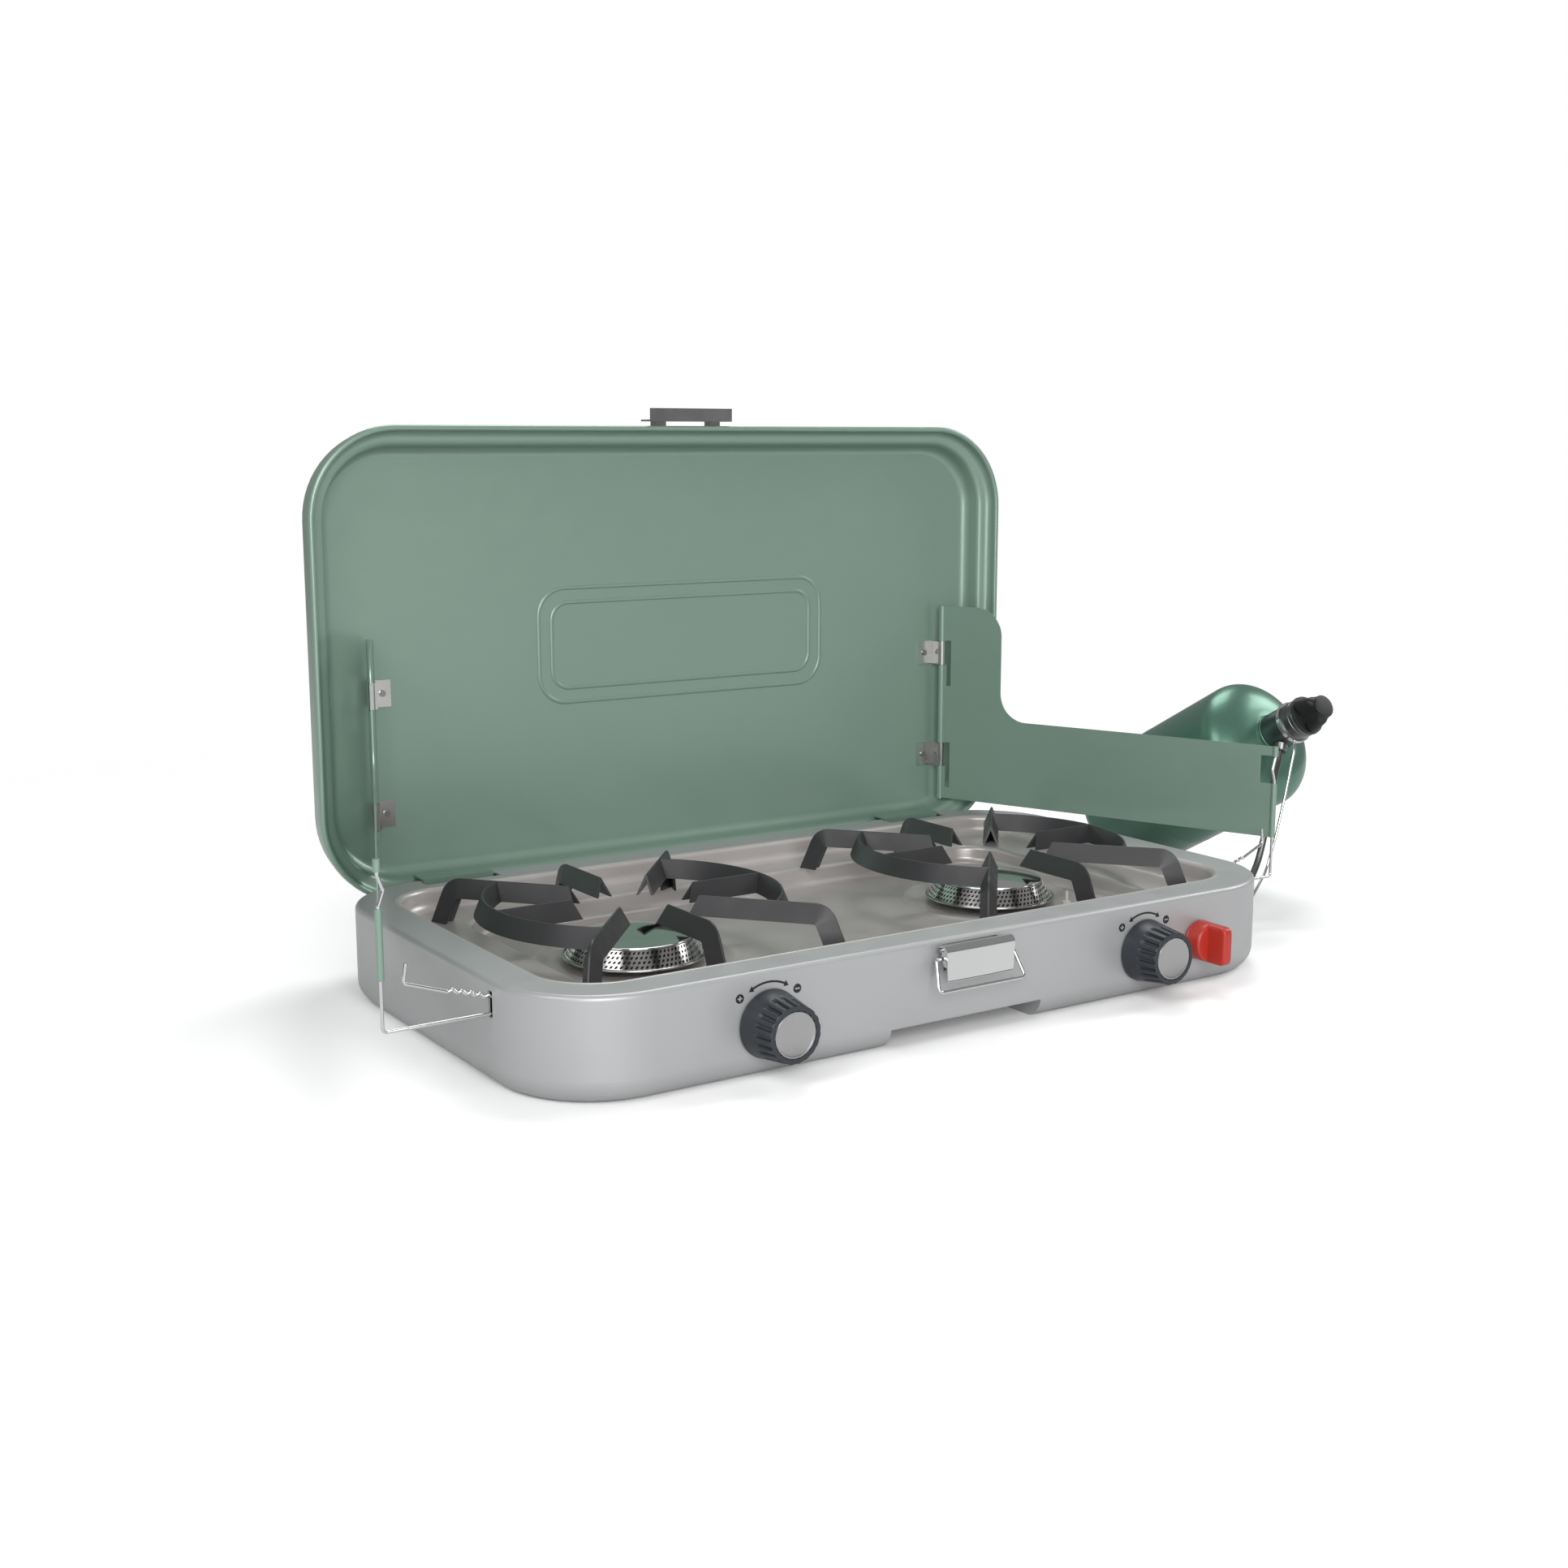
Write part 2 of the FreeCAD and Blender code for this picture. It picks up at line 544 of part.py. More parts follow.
for side, word in ((-1, "left"), (1, "right")):
    x0 = "(%d * tongue_place - tongue_width / 2)" % side
    bore = "(hinge_pin + hinge_play)"
    hinge_y, hinge_z = "(case_depth / 2 - 7.5)", "(lid_foot + 7.5)"
    leaf = "(case_height + 0.4)"
    barrel = cylinder("barrel_" + word, "X", (x0, hinge_y, hinge_z), bore + " + tongue_sheet",
                      "tongue_width")
    stem = box("leaf_up_" + word, (x0, hinge_y, hinge_z), "tongue_width", "tongue_sheet",
               leaf + " - " + hinge_z)
    over = box("leaf_over_" + word, (x0, hinge_y, leaf), "tongue_width", "17", "tongue_sheet")
    drop = box("leaf_down_" + word, (x0, hinge_y + " + 17 - tongue_sheet", "lid_foot + lid_sheet"),
               "tongue_width", "tongue_sheet", leaf + " - lid_foot - lid_sheet")
    pin_hole = cylinder("pin_hole_" + word, "X", (x0 + " - 1", hinge_y, hinge_z), bore,
                        "tongue_width + 2")
    node(cut("tongue_" + word, join("leaf_" + word, barrel, stem, over, drop), pin_hole),
         "lid_tongue_" + word)
pins = []
for side, word in ((-1, "left"), (1, "right")):
    x0 = "(%d * tongue_place - tongue_width / 2)" % side
    pieces = [cylinder("pin_rod_" + word, "X", (x0 + " - 6", hinge_y, hinge_z), "hinge_pin",
                       "tongue_width + 12")]
    for end, shift in (("near", " - 6"), ("far", " + tongue_width + 3")):
        pieces.append(box("pin_ear_%s_%s" % (end, word), (x0 + shift, hinge_y + " - 3.5",
                          hinge_z + " - 3"), "3", "7", "case_height - case_wall + 3 - " + hinge_z))
    pins.append(join("pin_" + word, *pieces))
node(group("pin_pair", pins), "lid_pins")
top = "(lid_foot + lid_height)"
catch_front = "(case_depth / 2 + lid_gap + 1)"
catch_bits = [box("catch_leaf", ("-catch_width / 2", catch_front, top + " + 3"), "catch_width",
                  "14", "1.2"),
              box("catch_hook", ("-catch_width / 2", catch_front, top + " + 3"), "catch_width",
                  "1.2", "catch_height")]
for side, word in ((-1, "left"), (1, "right")):
    catch_bits.append(box("catch_foot_" + word, ("%d * 22 - 4" % side, catch_front + " + 5", top),
                          "8", "8", "3"))
node(join("catch", *catch_bits), "lid_catch")

# --------------------------------------------------------------- windguards
guard_axis = V(S.guard_place, lid_front + S.guard_line, 0)
splay = math.radians(S.guard_splay)
guard_turn = S.guard_splay - 90
roll_bore = S.wire_radius + S.wire_play
roll_outer = roll_bore + S.roll_wall
pin_bore = S.guard_pin + S.hinge_play
hinge_outer = pin_bore + S.roll_wall


def on_guard(shape):
    """Move a shape from the guard's own frame (length along X) to its open place."""
    shape.rotate(V(0, 0, 0), Z_AXIS, guard_turn)
    shape.translate(guard_axis)
    return shape


def guard_shape():
    """The L-shaped sheet with its rolled hinge edge and rolled front edge."""
    t, low, tall = S.guard_sheet, S.guard_low, S.guard_tall
    arm_top, length, post, r = low + S.guard_arm, S.guard_length, S.guard_post, S.guard_round
    sheet_solid = Part.makeBox(length, t, arm_top - low, V(0, -t / 2, low))
    tower = Part.makeBox(post, t, tall - low, V(0, -t / 2, low))
    crown = [e for e in tower.Edges if e.BoundBox.XMin > post - 1e-6
             and e.BoundBox.ZMin > tall - 1e-6]
    tower = tower.makeFillet(r, crown)
    heel = Part.makeBox(r, t, r, V(post, -t / 2, arm_top))
    heel = heel.cut(rod(V(post + r, -t, arm_top + r), V(post + r, t, arm_top + r), r))
    sheet_solid = sheet_solid.fuse(tower).fuse(heel)
    for z in (S.clip_low, S.clip_high):
        sheet_solid = sheet_solid.cut(Part.makeBox(
            4, 4, S.slot_height, V(4.5, -2, z - S.slot_height + S.clip_height / 2 + 1)))
    front = rod(V(length, 0, low), V(length, 0, arm_top), roll_outer)
    back = rod(V(0, 0, low), V(0, 0, tall), hinge_outer)
    whole = sheet_solid.fuse(front).fuse(back)
    whole = whole.cut(rod(V(length, 0, low - 1), V(length, 0, arm_top + 1), roll_bore))
    whole = whole.cut(rod(V(0, 0, low - 1), V(0, 0, tall + 1), pin_bore))
    whole = whole.cut(Part.makeBox(20, 10, S.notch_high - S.notch_low,
                                   V(length - 11, -5, S.notch_low)))
    for z in (S.clip_low, S.clip_high):
        whole = whole.cut(Part.makeBox(8.5, 12, S.clip_height + 1,
                                       V(-4, -6, z - S.clip_height / 2 - 0.5)))
    return on_guard(whole)


edge = guard_axis + V(math.sin(splay), -math.cos(splay), 0) * S.guard_length
wall_slot = V(half_w, S.wall_slot_place, 0)
inward = (wall_slot - V(edge.x, edge.y, 0))
run = inward.Length
inward.normalize()


def on_wire(u, z):
    """A point of the wire's upright plane: u from the guard's edge towards the case."""
    return V(edge.x, edge.y, 0) + inward * u + V(0, 0, z)


def guard_wire():
    """Prop wire: down the rolled edge, through the wall slot, back out with its notches."""
    low_z, wall_low, wall_high, apex = 40.5, 43.7, 53.0, 30.0
    pitch, depth = 5.0, 2.0
    points = [on_wire(0, S.guard_low + S.guard_arm - 1), on_wire(0, S.notch_high - 1.5),
              on_wire(3, (S.notch_high + S.notch_low) / 2), on_wire(0, S.notch_low + 1.5),
              on_wire(0, low_z), on_wire(run + apex, wall_low + 1.6),
              on_wire(run + 2, wall_high)]
    bends = [2.0, 2.5, 2.0, 2.4, 2.0, 2.0]
    slope = 0.27
    for k in range(5):
        u = run + 2 - pitch * (k + 0.5)
        points.append(on_wire(u, wall_high + slope * pitch * (k + 0.5) + depth / 2))
        points.append(on_wire(u - pitch / 2, wall_high + slope * pitch * (k + 1) - depth / 2))
        bends += [1.6, 1.6]
    end_u = 12.0
    end_z = wall_high + slope * (run + 2 - end_u)
    points += [on_wire(end_u, end_z), on_wire(end_u + 1.5, end_z + 11)]
    bends.append(2.2)
    return bar(points, S.wire_radius, bends)


for name, shape in (("windguard", guard_shape()), ("guard_wire", guard_wire())):
    for mirrored, word in zip(both_sides(shape), ("left", "right")):
        shaped(name + "_" + word, mirrored)
clips, rivets, guard_pins = [], [], []
for side, word in ((-1, "left"), (1, "right")):
    x, y = "%d * guard_place" % side, "(case_depth / 2 + lid_gap + guard_line)"
    for level in ("clip_low", "clip_high"):
        mark, base = word + "_" + level, "(" + level + " - clip_height / 2)"
        reach = "(lid_depth - lid_sheet - guard_line)"
        bits = [box("clip_leaf_" + mark, ("%s - %d * 10 - 7" % (x, side), y + " + " + reach + " - 1",
                                          base), "14", "1", "clip_height"),
                box("clip_step_" + mark, ("%s - %d * 3.5 - 0.5" % (x, side), y, base), "1", reach,
                    "clip_height"),
                box("clip_top_" + mark, ("%s - %d * 2 - 2" % (x, side), y + " - 0.5", base), "4",
                    "1", "clip_height"),
                cylinder("clip_eye_" + mark, "Z", (x, y, base), "guard_pin + hinge_play + roll_wall",
                         "clip_height")]
        hole = cylinder("clip_hole_" + mark, "Z", (x, y, base + " - 1"), "guard_pin",
                        "clip_height + 2")
        clips.append(cut("clip_" + mark, join("clip_body_" + mark, *bits), hole))
        rivets.append(cylinder("rivet_" + mark, "-Y", ("%s - %d * 11" % (x, side),
                               y + " + " + reach + " - 1", level), "2.2", "1"))
    guard_pins.append(cylinder("guard_pin_" + word, "Z", (x, y, "guard_low - 1"), "guard_pin",
                               "guard_tall - guard_low + 1"))
node(group("clip_set", clips), "guard_clips")
node(group("rivet_set", rivets), "guard_rivets")
node(group("guard_pin_set", guard_pins), "guard_pins")

# ------------------------------------------------------------------------------------------- latch
wall_y = -half_d
face_y = wall_y - S.latch_reach
half_latch = S.latch_width / 2
bail_eye = V(0, wall_y - 5.2, S.bail_level)
face, pivot_y = "(-case_depth / 2 - latch_reach)", "(-case_depth / 2 - 4.5)"
pivot_z = "(latch_top - 3.2)"
lever_bits = [box("lever_plate", ("-latch_width / 2", face, "latch_low"), "latch_width",
                  "latch_sheet", "latch_top - latch_low"),
              box("lever_lip", ("-latch_width / 2", face + " - 3", "latch_low"), "latch_width",
                  "4", "latch_sheet")]
for x, word in (("-latch_width / 2", "left"), ("latch_width / 2 - latch_sheet", "right")):
    lever_bits.append(box("cheek_" + word, (x, face, "45"), "latch_sheet", "latch_reach - 2.2",
                          "latch_top - 45"))
bail_hole = cylinder("bail_hole", "X", ("-latch_width", "-case_depth / 2 - 5.2", "bail_level"),
                     "bail_radius + hinge_play", "2 * latch_width")
lever_hole = cylinder("lever_hole", "X", ("-latch_width", pivot_y, pivot_z),
                      "latch_pin + hinge_play", "2 * latch_width")
node(cut("lever", join("lever_body", *lever_bits), join("lever_holes", bail_hole, lever_hole)),
     "latch_lever")
ear_x = "(latch_width / 2 - 6)"
bracket_bits = [box("bracket_plate", ("-" + ear_x, "-case_depth / 2 - 1", "latch_top - 17"),
                    "2 * " + ear_x, "1", "16")]
for side, word in ((-1, "left"), (1, "right")):
    x = "%d * %s - 0.6" % (side, ear_x)
    bracket_bits.append(cylinder("ear_" + word, "X", (x, pivot_y, pivot_z), "latch_ear", "1.2"))
    bracket_bits.append(box("ear_arm_" + word, (x, pivot_y, pivot_z + " - latch_ear"), "1.2",
                            "4.5", "2 * latch_ear"))
ear_hole = cylinder("ear_hole", "X", ("-latch_width", pivot_y, pivot_z), "latch_pin",
                    "2 * latch_width")
node(cut("bracket", join("bracket_body", *bracket_bits), ear_hole), "latch_bracket")
node(cylinder("latch_rod", "X", ("-latch_width / 2 - 0.4", pivot_y, pivot_z), "latch_pin",
              "latch_width + 0.8"), "latch_pin")
out = half_latch + 2.6
bail_low, bail_out, bail_flare = 34, 4.2, 4
bail_path = [V(-half_latch + 0.2, bail_eye.y, bail_eye.z), V(-out, bail_eye.y, bail_eye.z),
             V(-out - bail_flare, face_y - bail_out, bail_low),
             V(out + bail_flare, face_y - bail_out, bail_low),
             V(out, bail_eye.y, bail_eye.z), V(half_latch - 0.2, bail_eye.y, bail_eye.z)]
shaped("latch_bail", bar(bail_path, S.bail_radius, [1.8, 2.4, 2.4, 1.8]))

# ---------------------------------------------------------------------- gas cylinder and regulator
tilt = math.radians(S.bottle_tilt)
along = V(0, math.cos(tilt), -math.sin(tilt))
seat = V(S.bottle_place, S.bottle_front, S.bottle_level)


def bottle_curve(radius, start, end, mouth, foot):
    """Half outline of the cylinder from its mouth over the dome and down round its foot."""
    curve = []
    for k in range(9):
        a = math.radians(90 * k / 8)
        curve.append((mouth + (radius - mouth) * math.sin(a), start + S.dome_height * (1 - math.cos(a))))
    for k in range(7):
        a = math.radians(90 * k / 6)
        curve.append((radius - foot + foot * math.cos(a), end - foot + foot * math.sin(a)))
    return curve + [(0, end)]


wall, mouth_radius, foot_round = S.bottle_wall, S.neck_radius - 3, 12
outside = bottle_curve(S.bottle_radius, S.neck_length, S.bottle_length, mouth_radius, foot_round)
inside = bottle_curve(S.bottle_radius - wall, S.neck_length + wall, S.bottle_length - wall,
                      mouth_radius, foot_round - wall)
shaped("gas_cylinder", turned(outside + inside[::-1], seat, along))
collar = turned([(0, 0), (S.neck_radius - 2, 0), (S.neck_radius, 1.5),
                 (S.neck_radius, S.neck_length), (0, S.neck_length)], seat, along)
stub = rod(seat + along, seat - along * S.stub_length, S.stub_radius)
shaped("cylinder_neck", collar.fuse(stub).removeSplitter())
bite, nose_radius, seat_gap = 6, 4, 0.3
r, length = S.regulator_radius, S.regulator_length
stub_bore, stub_deep = S.stub_radius + S.hinge_play, S.stub_length + S.hinge_play
reg = turned([(stub_bore, seat_gap), (r, seat_gap), (r, length), (nose_radius, length),
              (nose_radius, length + bite), (0, length + bite), (0, stub_deep),
              (stub_bore, stub_deep)], seat, along * -1)
port_place = 9.5
port = seat - along * port_place
feed_way = V(-0.45, -0.25, -0.86).normalize()
boss_start, boss_radius = stub_bore + 3, 5
feed_start = port + feed_way * (r + 5)
boss = rod(port + feed_way * boss_start, feed_start, boss_radius)
shaped("regulator_body", reg.fuse(boss).removeSplitter())
feed = [feed_start, feed_start + feed_way * 9, V(368, -54, 99), V(360, -58, 72),
        V(348, -62, 46), V(332, S.inlet_place, 27), V(310, S.inlet_place, S.inlet_level),
        inlet + V(4, 0, 0)]
shaped("feed_tube", bar(feed, S.feed_radius, [20, 40, 60, 60, 30, 20]))

grip_seat = seat - along * (length + seat_gap)
grip_bore, bore_end = nose_radius + S.hinge_play, bite + 0.2
grip = turned([(grip_bore, 0), (S.grip_radius, 0), (S.grip_radius, 3.5), (9, 3.5),
               (8, S.grip_length), (0, S.grip_length), (0, bore_end), (grip_bore, bore_end)],
              grip_seat, along * -1)
for k in range(3):
    lobe = rod(V(10.5, 0, 0), V(7.2, 0, 17), 3.4)
    lobe.rotate(V(0, 0, 0), Z_AXIS, 120 * k + 20)
    lobe.Placement = FreeCAD.Placement(grip_seat, FreeCAD.Rotation(Z_AXIS, along * -1)
                                       ).multiply(lobe.Placement)
    tapered = lobe.common(turned([(0, 0), (S.grip_radius, 0), (S.grip_radius, 17), (0, 17)],
                                 grip_seat, along * -1))
    grip = grip.fuse(tapered)
grip = grip.cut(rod(grip_seat, grip_seat - along * bore_end, grip_bore))
shaped("regulator_knob", grip.removeSplitter())

band_near, band_far, band_thick = 18, 21, 1.2
band = turned([(r, band_near), (r + band_thick, band_near), (r + band_thick, band_far),
               (r, band_far)], seat, along * -1)
hang = X_AXIS * -0.39 + along.cross(X_AXIS) * 0.92
hang.normalize()
band_middle = seat - along * (band_near + band_far) / 2
stay = bar([band_middle + hang * (r + 0.2), band_middle + hang * (r + 8), V(372, -63, 92),
            V(361, -66, 64), V(349, -69, 40), V(328, -74, stay_hook.z),
            stay_hook + V(16, 0, 0), stay_hook - V(6, 0, 0)], S.stay_radius,
           [12, 40, 60, 30, 20, 20])
shaped("support_stay", band.fuse(stay).removeSplitter())

# ------------------------------------------------------------------------------------ small screws
screws, stands = [], []
for side, word in ((-1, "left"), (1, "right")):
    for y, mark in (("-valve_front + 8", "front"), ("-valve_back - 8", "rear")):
        screws.append(cylinder("screw_%s_%s" % (mark, word), "Z",
                               ("%d * burner_place" % side, y, "valve_high"), "2.6", "1.8"))
    stands.append(box("stand_" + word, ("%d * 100 - 6" % side, "-manifold_place - 2",
                      "case_wall"), "12", "4", "manifold_level - manifold_radius - case_wall"))
node(group("screw_set", screws), "valve_screws")
node(group("stand_set", stands), "manifold_stands")

# -------------------------------------------------------------------- output
doc.recompute()
os.makedirs("parts", exist_ok=True)
for piece in doc.Objects:
    if "Invalid" in piece.State or "Error" in piece.State:
        raise RuntimeError("failed: " + piece.Label)
for piece in NODES:
    if piece.Shape.isNull() or not piece.Shape.isValid() or not piece.Shape.Solids:
        raise RuntimeError("bad shape: " + piece.Label)
for piece in NODES:
    piece.Shape.exportStep(os.path.join("parts", piece.Label + ".step"))
    print("%-26s solids %d volume %.0f" % (piece.Label, len(piece.Shape.Solids),
                                           piece.Shape.Volume))
print(len(NODES), "nodes")
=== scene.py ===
# %% [markdown]
# # Two-burner camping stove
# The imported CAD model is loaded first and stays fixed. Sheet pieces whose drawn and rolled edges
# matter are worked out again here as numpy surfaces, and ride on the same bodies. The other CAD
# nodes stay as they are and only get their finish. Lengths below are in millimetres until a
# piece is made, because the stove's own sizes are easier to read that way.

# %% Load the frame
import json
import math
import bmesh
import bpy
import numpy as np
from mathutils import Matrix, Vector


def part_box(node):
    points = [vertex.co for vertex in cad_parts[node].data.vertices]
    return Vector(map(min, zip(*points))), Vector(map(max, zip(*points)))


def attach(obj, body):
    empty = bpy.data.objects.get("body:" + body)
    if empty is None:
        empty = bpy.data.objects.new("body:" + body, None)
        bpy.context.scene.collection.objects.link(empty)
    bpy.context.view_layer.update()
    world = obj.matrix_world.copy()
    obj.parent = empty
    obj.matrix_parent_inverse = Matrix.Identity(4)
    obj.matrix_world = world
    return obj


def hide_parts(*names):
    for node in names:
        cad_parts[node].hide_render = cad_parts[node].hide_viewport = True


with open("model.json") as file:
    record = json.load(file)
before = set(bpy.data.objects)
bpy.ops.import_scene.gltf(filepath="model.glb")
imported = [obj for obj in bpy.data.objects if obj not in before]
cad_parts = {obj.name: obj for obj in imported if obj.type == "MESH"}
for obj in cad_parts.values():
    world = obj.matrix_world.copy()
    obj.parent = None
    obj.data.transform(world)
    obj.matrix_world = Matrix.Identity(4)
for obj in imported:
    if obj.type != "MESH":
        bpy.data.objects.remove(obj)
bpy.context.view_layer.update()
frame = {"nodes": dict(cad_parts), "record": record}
NODES = frame["nodes"]
MM = 0.001


def lo_hi(name):
    """Lowest and highest corner of a CAD node, in millimetres."""
    low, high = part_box(name)
    return np.array(low) / MM, np.array(high) / MM


# %% [markdown]
# ## Grids to meshes
# Every drawn piece is a grid of points: one direction runs along a profile, the other round an
# outline or an axis. One helper joins the grid's neighbours with quads, and another merges the
# points that fall together at a pole, turns the faces outwards and names the body that carries
# the piece.

# %% Grid helpers
SMOOTH_ANGLE = math.radians(38)


def grid_faces(rows, columns, wrap_rows=False, wrap_columns=False):
    """Quads (i, j), (i+1, j), (i+1, j+1), (i, j+1), with the last row or column joined to the first."""
    i = np.arange(rows if wrap_rows else rows - 1)[:, None]
    j = np.arange(columns if wrap_columns else columns - 1)[None, :]
    below, right = (i + 1) % rows, (j + 1) % columns
    quads = [i * columns + j, below * columns + j, below * columns + right, i * columns + right]
    return np.stack(np.broadcast_arrays(*quads), -1).reshape(-1, 4)


def make_piece(name, points, faces, material, body, slot, stands_for=(), smooth=True):
    """A closed mesh at the origin, from points in millimetres, riding on a body."""
    mesh = bpy.data.meshes.new(name)
    mesh.from_pydata((np.asarray(points, float).reshape(-1, 3) * MM).tolist(), [],
                     [list(map(int, f)) for f in faces])
    work = bmesh.new()
    work.from_mesh(mesh)
    bmesh.ops.remove_doubles(work, verts=work.verts, dist=2e-6)
    bmesh.ops.dissolve_degenerate(work, edges=work.edges, dist=1e-7)
    bmesh.ops.recalc_face_normals(work, faces=work.faces)
    work.to_mesh(mesh)
    work.free()
    if smooth:
        mesh.shade_smooth()
        mesh.set_sharp_from_angle(angle=SMOOTH_ANGLE)
    obj = bpy.data.objects.new(name, mesh)
    bpy.context.scene.collection.objects.link(obj)
    mesh.materials.append(material)
    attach(obj, body)
    if stands_for:
        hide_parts(*stands_for)
    return obj


def stack(*shells):
    """Several (points, faces) shells as one list of points and faces."""
    points, faces, count = [], [], 0
    for shell_points, shell_faces in shells:
        shell_points = np.asarray(shell_points, float).reshape(-1, 3)
        faces += [[int(v) + count for v in face] for face in shell_faces]
        points.append(shell_points)
        count += len(shell_points)
    return np.concatenate(points), faces


def axis_frame(axis):
    """Two directions square to an axis, and the axis itself, all of length one."""
    axis = np.asarray(axis, float) / np.linalg.norm(axis)
    side = np.cross(axis, [0, 0, 1.0])
    side = np.array([1.0, 0, 0]) if np.linalg.norm(side) < 1e-6 else side / np.linalg.norm(side)
    return side, np.cross(axis, side), axis


def revolve(profile, centre, axis, steps=64, ripple=None):
    """Radius r and height h turned about an axis: centre + r (cos t, sin t) + h axis.
    ripple(t, h, r) may change the radius with the angle t, as flutes do."""
    r, h = np.asarray(profile, float).T[:, :, None]
    t = np.linspace(0, 2 * np.pi, steps, endpoint=False)[None, :]
    r = np.broadcast_to(r, (r.shape[0], steps)) if ripple is None else ripple(t, h, r)
    side, up, along = axis_frame(axis)
    turn = np.cos(t)[..., None] * side + np.sin(t)[..., None] * up
    points = np.asarray(centre, float) + r[..., None] * turn + (h * np.ones_like(t))[..., None] * along
    return points.reshape(-1, 3), grid_faces(len(profile), steps, wrap_columns=True).tolist()


def arc(centre_r, centre_h, radius, start, end, steps=8):
    """Points on a circle in a profile, from one angle in degrees to another."""
    a = np.radians(np.linspace(start, end, steps))
    return list(zip(centre_r + radius * np.cos(a), centre_h + radius * np.sin(a)))


def rounded_rings(half_w, half_h, radius, level, steps=12):
    """One rounded rectangle for each entry: corner centres plus radius (cos t, sin t), at z = level."""
    half_w, half_h, radius, level = np.broadcast_arrays(half_w, half_h, radius, level)
    t = (np.arange(4)[:, None] * 90 + np.linspace(0, 90, steps + 1)[None, :]).reshape(-1)
    t = np.radians(t)[None, :]
    sign_x = np.repeat([1, -1, -1, 1], steps + 1)[None, :]
    sign_y = np.repeat([1, 1, -1, -1], steps + 1)[None, :]
    x = (half_w - radius)[:, None] * sign_x + radius[:, None] * np.cos(t)
    y = (half_h - radius)[:, None] * sign_y + radius[:, None] * np.sin(t)
    return np.stack([x, y, np.broadcast_to(level[:, None], x.shape)], -1)


# %% [markdown]
# ## Shared effects
# Two effects turn up in nearly every finish: a fine grain that changes the gloss and lifts the
# surface a little, and a soft, wide cloud that keeps a painted area from being one flat colour.
# Each is a node group with its own inputs, built once. Brushed metal has a third, which stretches
# noise along one direction.

# %% Node groups
def group_socket(tree, name, kind, direction, value=None):
    """A named socket on a node group's interface."""
    socket = tree.interface.new_socket(name=name, in_out=direction, socket_type=kind)
    if value is not None:
        socket.default_value = value
    return socket


def grain_group():
    """Vector, scale and gloss limits in; cloud mask, gloss and height out.
    Height is fine noise, gloss is medium noise mapped between the limits."""
    tree = bpy.data.node_groups.new("finish_grain", "ShaderNodeTree")
    group_socket(tree, "Vector", "NodeSocketVector", "INPUT")
    group_socket(tree, "Scale", "NodeSocketFloat", "INPUT", 900.0)
    group_socket(tree, "Cloud Scale", "NodeSocketFloat", "INPUT", 9.0)
    group_socket(tree, "Gloss Low", "NodeSocketFloat", "INPUT", 0.3)
    group_socket(tree, "Gloss High", "NodeSocketFloat", "INPUT", 0.4)
    group_socket(tree, "Cloud", "NodeSocketFloat", "OUTPUT")
    group_socket(tree, "Roughness", "NodeSocketFloat", "OUTPUT")
    group_socket(tree, "Height", "NodeSocketFloat", "OUTPUT")
    nodes, links = tree.nodes, tree.links
    source, sink = nodes.new("NodeGroupInput"), nodes.new("NodeGroupOutput")
    fine, cloud, gloss = (nodes.new("ShaderNodeTexNoise") for _ in range(3))
    fine.inputs["Detail"].default_value = 3.0
    cloud.inputs["Detail"].default_value = 4.0
    gloss.inputs["Scale"].default_value = 60.0
    gloss.inputs["Detail"].default_value = 5.0
    for noise in (fine, cloud, gloss):
        links.new(source.outputs["Vector"], noise.inputs["Vector"])
    links.new(source.outputs["Scale"], fine.inputs["Scale"])
    links.new(source.outputs["Cloud Scale"], cloud.inputs["Scale"])
    spread = nodes.new("ShaderNodeMapRange")
    spread.inputs["From Min"].default_value = 0.3
    spread.inputs["From Max"].default_value = 0.7
    links.new(gloss.outputs["Fac"], spread.inputs["Value"])
    links.new(source.outputs["Gloss Low"], spread.inputs["To Min"])
    links.new(source.outputs["Gloss High"], spread.inputs["To Max"])
    links.new(cloud.outputs["Fac"], sink.inputs["Cloud"])
    links.new(spread.outputs["Result"], sink.inputs["Roughness"])
    links.new(fine.outputs["Fac"], sink.inputs["Height"])
    return tree


def brush_group():
    """Vector and a stretch in; streaks out. The streaks are noise squeezed across one direction."""
    tree = bpy.data.node_groups.new("brush_streaks", "ShaderNodeTree")
    group_socket(tree, "Vector", "NodeSocketVector", "INPUT")
    group_socket(tree, "Stretch", "NodeSocketVector", "INPUT", (40.0, 2000.0, 2000.0))
    group_socket(tree, "Streaks", "NodeSocketFloat", "OUTPUT")
    nodes, links = tree.nodes, tree.links
    source, sink = nodes.new("NodeGroupInput"), nodes.new("NodeGroupOutput")
    squeeze = nodes.new("ShaderNodeVectorMath")
    squeeze.operation = "MULTIPLY"
    noise = nodes.new("ShaderNodeTexNoise")
    noise.inputs["Scale"].default_value = 1.0
    noise.inputs["Detail"].default_value = 2.0
    links.new(source.outputs["Vector"], squeeze.inputs[0])
    links.new(source.outputs["Stretch"], squeeze.inputs[1])
    links.new(squeeze.outputs["Vector"], noise.inputs["Vector"])
    links.new(noise.outputs["Fac"], sink.inputs["Streaks"])
    return tree


GRAIN, BRUSH = grain_group(), brush_group()


def linear(code):
    """A colour written as six hexadecimal digits, as linear red, green, blue and alpha."""
    rgb = np.array([int(code[k:k + 2], 16) for k in (0, 2, 4)]) / 255.0
    rgb = np.where(rgb <= 0.04045, rgb / 12.92, ((rgb + 0.055) / 1.055) ** 2.4)
    return (*rgb.tolist(), 1.0)


